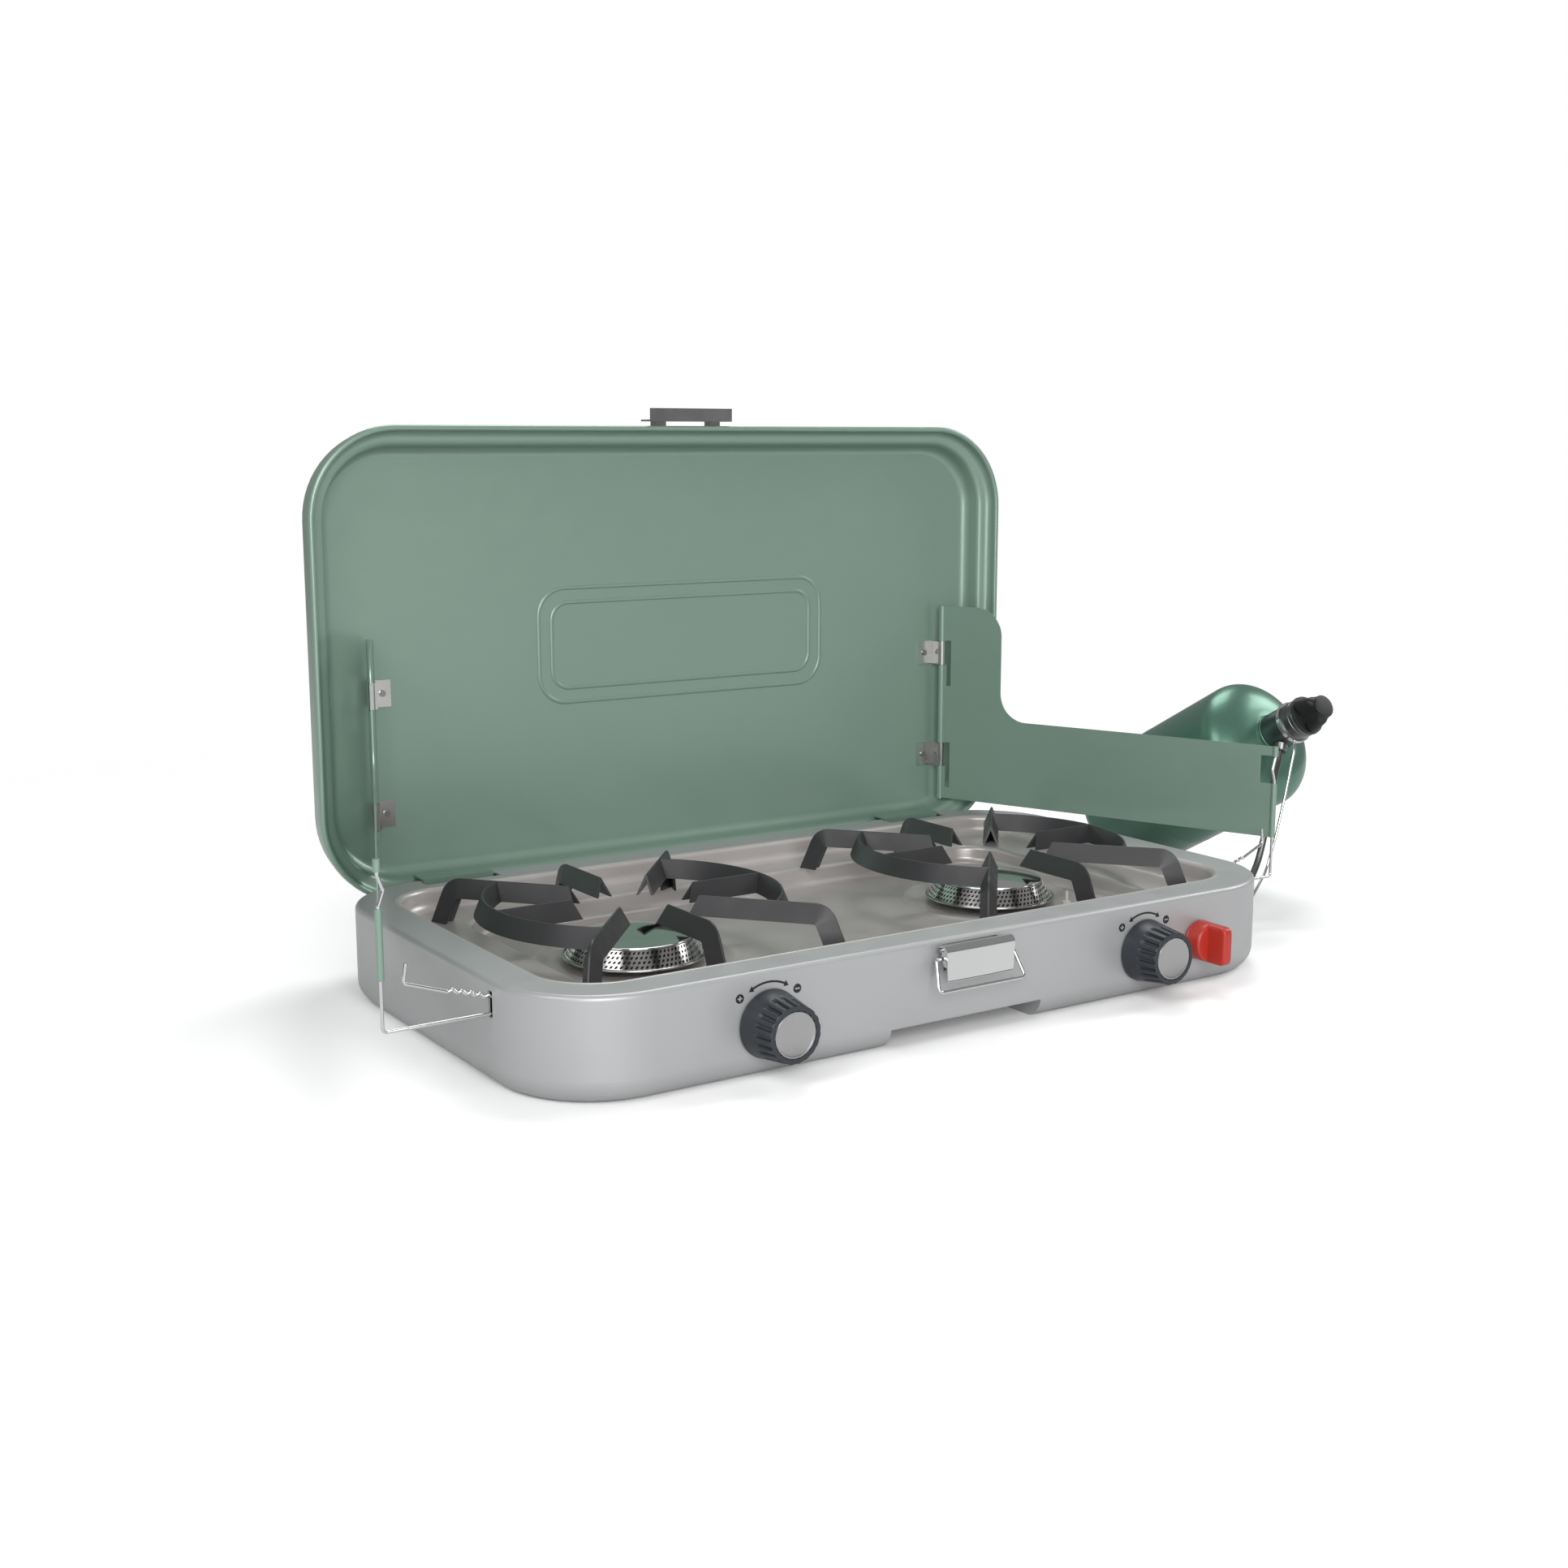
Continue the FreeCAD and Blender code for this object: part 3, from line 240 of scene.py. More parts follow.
# %% [markdown]
# ## Finishes
# A finish is a Principled surface whose colour drifts between two close tones, whose gloss comes
# from the grain group and whose grain lifts a bump. Metallic, coat and similar single values are
# set on the shader itself, so that they survive the export.

# %% The finish builder
def finish(name, tones, gloss, metallic=0.0, coat=0.0, grain=900.0, relief=0.02, cloud=9.0,
           stretch=None, rings=None):
    """tones: two colours; gloss: roughness limits; relief: grain height in millimetres.
    stretch adds brushed streaks, rings adds lathe rings about a point on the front face."""
    material = bpy.data.materials.new(name)
    material.use_nodes = True
    nodes, links = material.node_tree.nodes, material.node_tree.links
    shader = nodes["Principled BSDF"]
    shader.inputs["Metallic"].default_value = metallic
    shader.inputs["Coat Weight"].default_value = coat
    shader.inputs["Coat Roughness"].default_value = 0.12
    place = nodes.new("ShaderNodeTexCoord")
    effect = nodes.new("ShaderNodeGroup")
    effect.node_tree = GRAIN
    effect.inputs["Scale"].default_value = grain
    effect.inputs["Cloud Scale"].default_value = cloud
    effect.inputs["Gloss Low"].default_value = gloss[0]
    effect.inputs["Gloss High"].default_value = gloss[1]
    links.new(place.outputs["Object"], effect.inputs["Vector"])
    mix = nodes.new("ShaderNodeMix")
    mix.data_type = "RGBA"
    mix.inputs["A"].default_value = linear(tones[0])
    mix.inputs["B"].default_value = linear(tones[1])
    links.new(effect.outputs["Cloud"], mix.inputs["Factor"])
    bump = nodes.new("ShaderNodeBump")
    bump.inputs["Strength"].default_value = 0.6
    bump.inputs["Distance"].default_value = relief * MM
    height = effect.outputs["Height"]
    colour = mix.outputs["Result"]
    if stretch:
        brush = nodes.new("ShaderNodeGroup")
        brush.node_tree = BRUSH
        brush.inputs["Stretch"].default_value = stretch
        links.new(place.outputs["Object"], brush.inputs["Vector"])
        height = brush.outputs["Streaks"]
    if rings:
        centre = nodes.new("ShaderNodeMapping")
        centre.inputs["Location"].default_value = [-v * MM for v in rings]
        links.new(place.outputs["Object"], centre.inputs["Vector"])
        lathe = nodes.new("ShaderNodeTexWave")
        lathe.wave_type = "RINGS"
        lathe.rings_direction = "Y"
        lathe.inputs["Scale"].default_value = 500.0
        lathe.inputs["Distortion"].default_value = 0.6
        links.new(centre.outputs["Vector"], lathe.inputs["Vector"])
        height = lathe.outputs["Fac"]
    links.new(height, bump.inputs["Height"])
    links.new(bump.outputs["Normal"], shader.inputs["Normal"])
    links.new(colour, shader.inputs["Base Color"])
    links.new(effect.outputs["Roughness"], shader.inputs["Roughness"])
    return material


# %% Every finish of the stove
CASE_PAINT = finish("case_silver_paint", ("A9AAAB", "B1B2B3"), (0.36, 0.44), metallic=0.35,
                    coat=0.05, grain=1400, relief=0.006)
BASIN_PAINT = finish("basin_satin_enamel", ("B5B0AE", "BFBAB8"), (0.28, 0.36), metallic=0.35,
                     grain=1200, relief=0.008, cloud=14)
GREEN_PAINT = finish("sage_green_paint", ("7E978A", "879F92"), (0.30, 0.38), metallic=0.35,
                     coat=0.2, grain=1100, relief=0.008, cloud=5)
SUPPORT_ENAMEL = finish("anthracite_enamel", ("2E2E30", "39393B"), (0.36, 0.48), metallic=0.2,
                        grain=700, relief=0.02, cloud=30)
STEEL = finish("satin_steel", ("8F9090", "A5A5A4"), (0.24, 0.34), metallic=1.0,
               stretch=(60.0, 60.0, 1800.0), relief=0.004)
DARK_STEEL = finish("dark_steel", ("6C6D6E", "7A7B7C"), (0.25, 0.36), metallic=1.0,
                    stretch=(900.0, 60.0, 60.0), relief=0.004)
CHROME = finish("polished_chrome", ("D6D7D8", "E2E2E2"), (0.06, 0.11), metallic=1.0,
                grain=500, relief=0.001)
BURNER_STEEL = finish("burner_steel", ("B2B0AE", "C4C3C1"), (0.16, 0.26), metallic=1.0,
                      grain=600, relief=0.003, cloud=40)
KNOB_PLASTIC = finish("charcoal_plastic", ("25292E", "2E3238"), (0.36, 0.46), grain=1500,
                      relief=0.015, cloud=30)
CLIP_STEEL = finish("bright_clip_steel", ("BEBEBC", "CFCFCD"), (0.14, 0.22), metallic=1.0,
                    stretch=(60.0, 60.0, 1500.0), relief=0.002)
BLACK_PLASTIC = finish("black_plastic", ("141516", "1B1C1D"), (0.4, 0.5), grain=1300, relief=0.02,
                       cloud=30)
RED_PLASTIC = finish("red_plastic", ("A92A20", "B83428"), (0.34, 0.42), coat=0.1, grain=1500,
                     relief=0.01, cloud=40)
BOTTLE_PAINT = finish("bottle_green_gloss", ("547A6B", "5C8474"), (0.3, 0.36), metallic=0.6,
                      coat=0.2, grain=500, relief=0.004, cloud=12)
BRASS = finish("machined_brass", ("B08D4A", "BD9A58"), (0.28, 0.38), metallic=1.0, grain=800,
               relief=0.004, cloud=40)
CERAMIC = finish("white_ceramic", ("DDD8CC", "E8E4DA"), (0.2, 0.3), grain=700, relief=0.004)
LEAD_RUBBER = finish("lead_rubber", ("1A1A1A", "222222"), (0.5, 0.6), grain=900, relief=0.01)
# Near-black finish for the fill inside each burner cone: painted shade seen through the ports.
PORT_SHADE_BLACK = finish("hole_shadow", ("0B0B0B", "101010"), (0.7, 0.8), grain=900, relief=0.01)
SLOT_FINISH = {
    "case": CASE_PAINT, "basin": BASIN_PAINT, "green": GREEN_PAINT,
    "anthracite": SUPPORT_ENAMEL, "steel": STEEL, "chrome": CHROME, "alloy": STEEL,
    "brass": BRASS, "charcoal": KNOB_PLASTIC, "black": BLACK_PLASTIC, "red": RED_PLASTIC,
    "bottle": BOTTLE_PAINT, "ceramic": CERAMIC, "lead": LEAD_RUBBER,
}
OWN_FINISH = {"regulator_body": DARK_STEEL, "feed_tube": DARK_STEEL, "support_stay": CHROME,
              "cylinder_neck": BOTTLE_PAINT, "guard_clips": CLIP_STEEL, "guard_rivets": STEEL,
              "guard_pins": CLIP_STEEL, "latch_bracket": CLIP_STEEL}
for part in frame["record"]["subparts"]:
    node_mesh = NODES[part["node"]].data
    node_mesh.materials.clear()
    node_mesh.materials.append(OWN_FINISH.get(part["node"], SLOT_FINISH[part["material_slot"]]))

# %% [markdown]
# ## Camera, floor and light
# The stove stands on a pale floor. The camera looks from the front left and a little above. A
# broad soft light in front makes the upright faces brighter than the level ones, as on the real
# stove, and a weak one above draws the highlights along the drawn edges.

# %% Camera, floor and light
CAMERA_PLACE = (-0.7030, -1.0182, 0.3499)
YAW, PITCH, LENS = 33.548, 10.126, 44.16
scene = bpy.context.scene
scene.view_settings.view_transform = "Standard"
camera_data = bpy.data.cameras.new("camera")
camera_data.lens, camera_data.sensor_width = LENS, 36.0
camera = bpy.data.objects.new("camera", camera_data)
camera.location = CAMERA_PLACE
camera.rotation_euler = (math.radians(90 - PITCH), 0, math.radians(-YAW))
scene.collection.objects.link(camera)
scene.camera = camera

FLOOR_SEEN, FLOOR_BOUNCE, FLOOR_NEAR, FLOOR_FAR = 1.15, 0.75, 0.6, 1.3
SKY_SEEN, SKY_LIGHT = 1.0, 0.28
floor_mesh = bpy.data.meshes.new("floor")
floor_mesh.from_pydata([(-9, -9, 0), (9, -9, 0), (9, 9, 0), (-9, 9, 0)], [], [(0, 1, 2, 3)])
floor = bpy.data.objects.new("floor", floor_mesh)
scene.collection.objects.link(floor)
floor_paint = bpy.data.materials.new("floor_paint")
floor_paint.use_nodes = True
floor_nodes, floor_links = floor_paint.node_tree.nodes, floor_paint.node_tree.links
floor_nodes.remove(floor_nodes["Principled BSDF"])


def floor_node(kind, **values):
    """A node of the floor's material, with its inputs set by name."""
    node = floor_nodes.new(kind)
    for name, value in values.items():
        node.inputs[name.replace("_", " ")].default_value = value
    return node


near = floor_node("ShaderNodeBsdfDiffuse", Color=(FLOOR_SEEN,) * 3 + (1,))
bounce = floor_node("ShaderNodeBsdfDiffuse", Color=(FLOOR_BOUNCE,) * 3 + (1,))
far = floor_node("ShaderNodeEmission", Strength=1.0)
place = floor_node("ShaderNodeTexCoord")
distance = floor_node("ShaderNodeVectorMath")
distance.operation = "LENGTH"
edge = floor_node("ShaderNodeMapRange", From_Min=FLOOR_NEAR, From_Max=FLOOR_FAR)
edge.interpolation_type = "SMOOTHSTEP"
eye = floor_node("ShaderNodeLightPath")
fade, choose = floor_node("ShaderNodeMixShader"), floor_node("ShaderNodeMixShader")
floor_links.new(place.outputs["Object"], distance.inputs[0])
floor_links.new(distance.outputs["Value"], edge.inputs["Value"])
floor_links.new(edge.outputs["Result"], fade.inputs["Fac"])
floor_links.new(near.outputs["BSDF"], fade.inputs[1])
floor_links.new(far.outputs["Emission"], fade.inputs[2])
floor_links.new(eye.outputs["Is Camera Ray"], choose.inputs["Fac"])
floor_links.new(bounce.outputs["BSDF"], choose.inputs[1])
floor_links.new(fade.outputs["Shader"], choose.inputs[2])
floor_links.new(choose.outputs["Shader"], floor_nodes["Material Output"].inputs["Surface"])
floor_mesh.materials.append(floor_paint)

world = bpy.data.worlds.new("studio")
scene.world = world
world.use_nodes = True
sky_nodes, sky_links = world.node_tree.nodes, world.node_tree.links
seen_sky = sky_nodes["Background"]
seen_sky.inputs["Color"].default_value = (1, 1, 1, 1)
seen_sky.inputs["Strength"].default_value = SKY_SEEN
room_sky = sky_nodes.new("ShaderNodeBackground")
room_sky.inputs["Color"].default_value = (1, 1, 1, 1)
room_sky.inputs["Strength"].default_value = SKY_LIGHT
ray, which_sky = sky_nodes.new("ShaderNodeLightPath"), sky_nodes.new("ShaderNodeMixShader")
sky_links.new(ray.outputs["Is Camera Ray"], which_sky.inputs["Fac"])
sky_links.new(room_sky.outputs["Background"], which_sky.inputs[1])
sky_links.new(seen_sky.outputs["Background"], which_sky.inputs[2])
sky_links.new(which_sky.outputs["Shader"], sky_nodes["World Output"].inputs["Surface"])


def soft_light(name, place, aim, size, power):
    """A square area light of a size in metres, turned towards a point."""
    data = bpy.data.lights.new(name, "AREA")
    data.shape, data.size, data.energy = "SQUARE", size, power
    light = bpy.data.objects.new(name, data)
    light.location = place
    direction = np.array(aim, float) - np.array(place, float)
    flat = math.hypot(direction[0], direction[1])
    light.rotation_euler = (math.atan2(flat, -direction[2]), 0,
                            math.atan2(-direction[0], direction[1]))
    scene.collection.objects.link(light)
    return light


soft_light("front_light", (-1.0, -2.3, 0.95), (0, 0, 0.15), 1.6, 52)
soft_light("top_light", (0.7, 0.9, 2.2), (0, 0, 0), 1.2, 22)
soft_light("right_light", (2.2, -0.4, 1.5), (0.3, 0, 0.1), 1.0, 18)
soft_light("left_light", (-2.0, -0.7, 1.7), (0, 0, 0.1), 1.2, 16)

# %% [markdown]
# ## Cooktop basin
# The basin is one drawn sheet: it rolls over the rim's opening, falls to a shelf, runs level,
# falls again and opens into the deck. Each ring of the surface is a rounded rectangle, and the
# profile says how wide, how deep and how high each ring is. The sheet's underside is the same
# profile moved by its thickness.

# %% Basin walls
OPEN_X, OPEN_Y, OPEN_CORNER = 254.0, 131.0, 38.0
SHELF_Z, DECK_Z, SHEET = 47.5, 34.0, 0.8
STEP_X, STEP_Y, STEP_CORNER = 214.0, 100.0, 30.0
rim_top = lo_hi("case_shell")[1][2]


def basin_profile():
    """Rows of half width, half depth, corner radius and height, from the rim to the deck."""
    rows = [(OPEN_X + 2.4, OPEN_Y + 2.4, OPEN_CORNER + 2.4, rim_top + 0.02),
            (OPEN_X + 1.6, OPEN_Y + 1.6, OPEN_CORNER + 1.6, rim_top + 0.3)]
    for a in np.radians(np.linspace(0, 90, 7)):
        shift = 1.6 - 3.6 * math.sin(a)
        rows.append((OPEN_X + shift, OPEN_Y + shift, OPEN_CORNER + shift,
                     rim_top + 0.3 - 3.6 * (1 - math.cos(a))))
    for a in np.radians(np.linspace(0, 90, 9)):
        shift = -2.0 - 7.0 * (1 - math.cos(a))
        rows.append((OPEN_X + shift, OPEN_Y + shift, OPEN_CORNER + shift,
                     SHELF_Z + 7.0 - 7.0 * math.sin(a)))
    for a in np.radians(np.linspace(0, 80, 8)):
        shift = 4.0 * (1 - math.sin(a))
        rows.append((STEP_X + shift, STEP_Y + shift, STEP_CORNER + shift,
                     SHELF_Z - 4.0 * (1 - math.cos(a))))
    for a in np.radians(np.linspace(10, 90, 9)):
        shift = -6.0 * (1 - math.cos(a))
        rows.append((STEP_X + shift, STEP_Y + shift, STEP_CORNER + shift,
                     DECK_Z + 6.0 - 6.0 * math.sin(a)))
    return np.array(rows)


def sheet_from_rings(rows, thickness):
    """Upper rings, then the same rings moved down and out by the thickness, as one closed loop."""
    step = np.gradient(rows[:, 0]), np.gradient(rows[:, 3])
    length = np.hypot(*step)
    out, down = -step[1] / length, step[0] / length
    under = rows.copy()
    under[:, :3] += (out * thickness)[:, None] * 1.0
    under[:, 3] += down * thickness
    loop = np.concatenate([rows, under[::-1]])
    rings = rounded_rings(*loop.T)
    return rings, grid_faces(rings.shape[0], rings.shape[1], True, True).tolist()


walls = sheet_from_rings(basin_profile(), SHEET)
make_piece("basin_walls", *walls, BASIN_PAINT, "base", "basin", ("cooktop_basin",))

# %% [markdown]
# ## Deck
# The deck is nearly flat. Each burner stands in a shallow dish with a soft raised ring round it,
# and a small dimple lies behind, between the burners. A height field suits it: the height is a
# sum of smooth steps of the distance from each centre.

# %% Deck plate
BURNER_X, BURNER_Y = lo_hi("burner_cap_right")[0][0] + 36.0, -4.0
DISH_RADIUS, DISH_DEPTH, BEAD_RADIUS = 57.0, 1.6, 62.0
PILOT_Y, PILOT_RADIUS = 84.0, 6.0


def smooth(edge, width, value):
    """0 below the edge, 1 above it, and a cubic rise over the width between."""
    t = np.clip((value - edge) / width + 0.5, 0, 1)
    return t * t * (3 - 2 * t)


def deck_height(x, y):
    """Deck level less the dishes, plus the beads round them and the pilot's rim."""
    z = np.full_like(x, DECK_Z)
    for side in (-1, 1):
        r = np.hypot(x - side * BURNER_X, y - BURNER_Y)
        z -= DISH_DEPTH * (1 - smooth(DISH_RADIUS, 7.0, r))
        z += 0.9 * np.exp(-((r - BEAD_RADIUS) / 3.0) ** 2)
    r = np.hypot(x, y - PILOT_Y)
    z += 1.5 * np.exp(-((r - 10.0) / 2.2) ** 2)
    z -= 5.0 * (1 - smooth(PILOT_RADIUS, 1.6, r))
    return z


grid_x = np.linspace(-STEP_X + 4, STEP_X - 4, 261)
grid_y = np.linspace(-STEP_Y + 4, STEP_Y - 4, 121)
deck_x, deck_y = np.meshgrid(grid_x, grid_y, indexing="ij")
deck_top = np.stack([deck_x, deck_y, deck_height(deck_x, deck_y) - 0.03], -1)
deck_under = deck_top - [0, 0, SHEET]


def closed_plate(top, under):
    """Top and underside grids of the same size, joined round their border."""
    rows, columns = top.shape[:2]
    count = rows * columns
    faces = grid_faces(rows, columns).tolist()
    faces += (grid_faces(rows, columns)[:, ::-1] + count).tolist()
    border = np.concatenate([np.arange(columns), np.arange(1, rows) * columns + columns - 1,
                             (rows - 1) * columns + np.arange(columns - 2, -1, -1),
                             np.arange(rows - 2, 0, -1) * columns])
    after = np.roll(border, -1)
    faces += np.stack([border, after, after + count, border + count], -1).tolist()
    return np.concatenate([top.reshape(-1, 3), under.reshape(-1, 3)]), faces


make_piece("deck_plate", *closed_plate(deck_top, deck_under), BASIN_PAINT, "base", "basin",
           ("cooktop_basin",))
print("deck points", deck_top.shape[0] * deck_top.shape[1])

# %% [markdown]
# ## Burners
# A burner is a flanged cup, a cone pierced with four staggered rows of ports, and a polished cap.
# The ports are real holes: one small tile with an eight-sided hole is repeated round the cone,
# outside and inside, and the two skins are joined through the holes.

# %% Pierced cone
PORT_COLUMNS, PORT_ROWS, STAGGER = 84, 4, 0.5
CONE_FOOT, CONE_HEAD = 43.0, 36.0


def pierced_cone(centre, low, high, thickness=0.8):
    """Tiles (u, v) on a cone: radius falls from foot to head with v, angle grows with u.
    A tile's corners and edge middles are joined to the eight points of its hole."""
    square = np.array([(0, 0), (.5, 0), (1, 0), (1, .5), (1, 1), (.5, 1), (0, 1), (0, .5)])
    turn = np.arctan2(square[:, 1] - .5, square[:, 0] - .5)
    hole = 0.5 + np.stack([0.27 * np.cos(turn), 0.33 * np.sin(turn)], -1)
    column = np.arange(PORT_COLUMNS)[:, None, None, None]
    row = np.arange(PORT_ROWS)[None, :, None, None]
    tile = np.concatenate([square, hole])[None, None]
    u = (column + tile[..., 0:1]) / PORT_COLUMNS
    v = (row + tile[..., 1:2]) / PORT_ROWS
    skins = []
    for inset in (0.0, thickness):
        radius = CONE_FOOT + (CONE_HEAD - CONE_FOOT) * v - inset
        angle = 2 * np.pi * (u + STAGGER * PORT_ROWS * v / PORT_COLUMNS)
        skins.append(np.concatenate([centre[0] + radius * np.cos(angle),
                                     centre[1] + radius * np.sin(angle),
                                     low + (high - low) * v + 0 * u], -1).reshape(-1, 16, 3))
    count = len(skins[0]) * 16
    base = (np.arange(len(skins[0])) * 16)[:, None, None]
    k = np.arange(8)
    skin = np.stack([k, (k + 1) % 8, (k + 1) % 8 + 8, k + 8], -1)[None]
    wall = np.stack([k + 8, (k + 1) % 8 + 8, (k + 1) % 8 + 8 + count, k + 8 + count], -1)[None]
    faces = [(base + skin).reshape(-1, 4), (base + skin[..., ::-1] + count).reshape(-1, 4),
             (base + wall).reshape(-1, 4)]
    rows = np.arange(len(skins[0])) % PORT_ROWS
    foot, head = base[rows == 0], base[rows == PORT_ROWS - 1]
    for ends, picks in ((foot, [(0, 1), (1, 2)]), (head, [(4, 5), (5, 6)])):
        for a, b in picks:
            edge = np.array([[a, b, b + count, a + count]])[None]
            faces.append((ends + edge).reshape(-1, 4))
    return np.concatenate([s.reshape(-1, 3) for s in skins]), np.concatenate(faces).tolist()


# %% Cups, cones and caps
def burner(side, word):
    """The cup with its rolled flange, the pierced cone over a near-black fill that is painted shade seen
    through the ports, and the domed cap.
    """
    centre = np.array([side * BURNER_X, BURNER_Y, 0.0])
    flange_z = lo_hi("burner_cup_" + word)[1][2]
    head_z = lo_hi("burner_ring_" + word)[1][2]
    cap_z = lo_hi("burner_cap_" + word)[1][2]
    low_z = lo_hi("burner_cup_" + word)[0][2]
    cup = [(0, low_z), (15, low_z), (17, low_z + 2), (17, flange_z - 3), (18.5, flange_z - 1.4),
           (43.5, flange_z - 1.2)] + arc(44.2, flange_z - 0.6, 0.7, -90, 90, 7) + \
          [(20, flange_z + 0.05), (16, flange_z - 1), (16, low_z + 3), (0, low_z + 3)]
    make_piece("burner_cup_sheet_" + word, *revolve(cup, centre, (0, 0, 1), 96), BURNER_STEEL,
               "base", "steel", ("burner_cup_" + word,))
    make_piece("burner_cone_" + word, *pierced_cone(centre, flange_z, head_z), BURNER_STEEL,
               "base", "chrome", ("burner_ring_" + word,), smooth=False)
    # The dark solid inside the cone is painted shade, standing in for the shadow seen through the ports, not
    # a real part.
    core = [(0, flange_z + 0.2), (CONE_FOOT - 2.2, flange_z + 0.2), (CONE_HEAD - 2.2, head_z - 0.2),
            (0, head_z - 0.2)]
    make_piece("burner_port_shade_" + word, *revolve(core, centre, (0, 0, 1), 72), PORT_SHADE_BLACK, "base",
               "steel")
    rise = cap_z - head_z
    dome = [(0, head_z)] + [(CONE_HEAD - 0.6, head_z)] + \
        arc(CONE_HEAD - 0.7, head_z + 0.75, 0.75, -60, 75, 7)
    dome += [(CONE_HEAD * f, head_z + 1.4 + (rise - 1.4) * (1 - f ** 2.2))
             for f in np.linspace(0.95, 0, 14)]
    make_piece("burner_dome_" + word, *revolve(dome, centre, (0, 0, 1), 96), CHROME, "base",
               "chrome", ("burner_cap_" + word,))


for side, word in ((-1, "left"), (1, "right")):
    burner(side, word)

# %% [markdown]
# ## Pan supports
# A support is sheet folded into an upside-down V with a soft ridge. The folded section is carried
# along each path: the arc round the burner, the straight spoke, and the arms that bend down to
# the shelf. The first ring of an arm leans back to a point, and the last is cut level by the shelf.

# %% Folded section and its paths
RIDGE_Z, SUPPORT_H, SUPPORT_W, SUPPORT_T = lo_hi("pan_frame_left_left")[1][2], 12.0, 11.0, 1.3
ARM_START, ARC_RADIUS, ARM_ANGLE, END_LEAN = 43.0, 92.0, 50.0, -0.45


def folded_section():
    """Offsets across (a) and down (b) from the ridge: out along one wing, round, and back inside."""
    half, drop, soft = SUPPORT_W / 2, SUPPORT_H, 1.5
    slope = math.atan2(drop, half)
    crown = np.radians(np.linspace(-90 + math.degrees(slope), 90 - math.degrees(slope), 7))
    top = [(soft * math.sin(a), soft * (1 - math.cos(a))) for a in crown]
    outer = [(-half, drop)] + top + [(half, drop)]
    inner = [(half - SUPPORT_T * 1.15, drop), (0, SUPPORT_T * 2.1), (-half + SUPPORT_T * 1.15, drop)]
    return np.array(outer + inner)


def carry(path, across, section, lean=0.0, floor=None):
    """Each path point plus the section's offsets along its across and down directions.
    The first ring is sheared back by lean, and the last is slid along the path to the floor."""
    path = np.asarray(path, float)
    ahead = np.gradient(path, axis=0)
    ahead /= np.linalg.norm(ahead, axis=1)[:, None]
    across = np.broadcast_to(across, path.shape)
    down = np.cross(ahead, across)
    down *= np.where(down[:, 2:3] > 0, -1, 1)
    points = path[:, None] + section[None, :, 0:1] * across[:, None] + \
        section[None, :, 1:2] * down[:, None]
    points[0] += section[:, 1:2] * lean * ahead[0]
    if floor is not None:
        points[-1] += ((floor - points[-1][:, 2]) / ahead[-1][2])[:, None] * ahead[-1]
    rows, columns = points.shape[:2]
    faces = grid_faces(rows, columns, wrap_columns=True).tolist()
    ends = [list(range(a, a + columns)) for a in (0, (rows - 1) * columns)]
    return points.reshape(-1, 3), faces + ends


def arm_path(centre, degrees, elbow, foot, bend=14.0):
    """Level run, an arc of the bend's radius, and the slanting leg down to the foot."""
    way = np.array([math.cos(math.radians(degrees)), math.sin(math.radians(degrees)), 0])
    slope = math.atan2(RIDGE_Z - SHELF_Z, foot - elbow)
    reach = bend * math.tan(slope / 2)
    a = np.linspace(0, slope, 9)
    r = elbow - reach + bend * np.sin(a)
    z = RIDGE_Z - bend * (1 - np.cos(a))
    r = np.concatenate([[ARM_START, ARM_START + 6, (ARM_START + elbow) / 2], r, [foot]])
    z = np.concatenate([[RIDGE_Z] * 3, z, [SHELF_Z]])
    side = np.array([-way[1], way[0], 0])
    return centre + r[:, None] * way + z[:, None] * np.array([0, 0, 1.0]), side


def ring_path(centre, start, end, radius):
    """Points on a level circle, with the radial direction at each as its across."""
    t = np.radians(np.linspace(start, end, 33))
    radial = np.stack([np.cos(t), np.sin(t), 0 * t], -1)
    return centre + radius * radial + np.array([0, 0, RIDGE_Z]), radial


SECTION = folded_section()
for side, word in ((-1, "left"), (1, "right")):
    centre = np.array([side * BURNER_X, BURNER_Y, 0.0])
    for facing, name in ((0, "right"), (180, "left")):
        shells = []
        path, across = ring_path(centre, facing - ARM_ANGLE, facing + ARM_ANGLE, ARC_RADIUS)
        shells.append(carry(path, across, SECTION))
        for turn in (-ARM_ANGLE, ARM_ANGLE):
            path, across = arm_path(centre, facing + turn, 126.0, 138.0)
            shells.append(carry(path, across, SECTION, END_LEAN, SHELF_Z))
        way = math.radians(facing)
        spoke = np.array([[math.cos(way), math.sin(way), 0]]) * np.linspace(ARM_START, ARC_RADIUS, 5)[:, None]
        shells.append(carry(centre + spoke + [0, 0, RIDGE_Z - 0.02],
                            np.array([-math.sin(way), math.cos(way), 0]), SECTION, END_LEAN))
        make_piece("pan_support_%s_%s" % (word, name), *stack(*shells), SUPPORT_ENAMEL, "base",
                   "anthracite", ("pan_frame_%s_%s" % (word, name),))
    for facing, name in ((90, "back"), (-90, "front")):
        path, across = arm_path(centre, facing, 98.0, 111.0)
        make_piece("pan_rest_%s_%s" % (word, name),
                   *carry(path, across, SECTION, END_LEAN, SHELF_Z), SUPPORT_ENAMEL, "base",
                   "anthracite", ("pan_finger_%s_%s" % (word, name),))

# %% [markdown]
# ## Lid
# The lid is one drawn tray. Its profile starts in the middle of the inner panel, climbs the wall
# over a soft step, rolls round the bright lip and returns outside. Rounded rectangles carry that
# profile round the lid, and the two flat panels close it.

# %% Lid tray
lid_low, lid_high = lo_hi("lid_shell")
LID_X, LID_Y = lid_high[0], (lid_high[2] - lid_low[2]) / 2
LID_MIDDLE, LID_FRONT, LID_BACK = (lid_low[2] + lid_high[2]) / 2, lid_low[1], lid_high[1]
LID_CORNER = 61.0


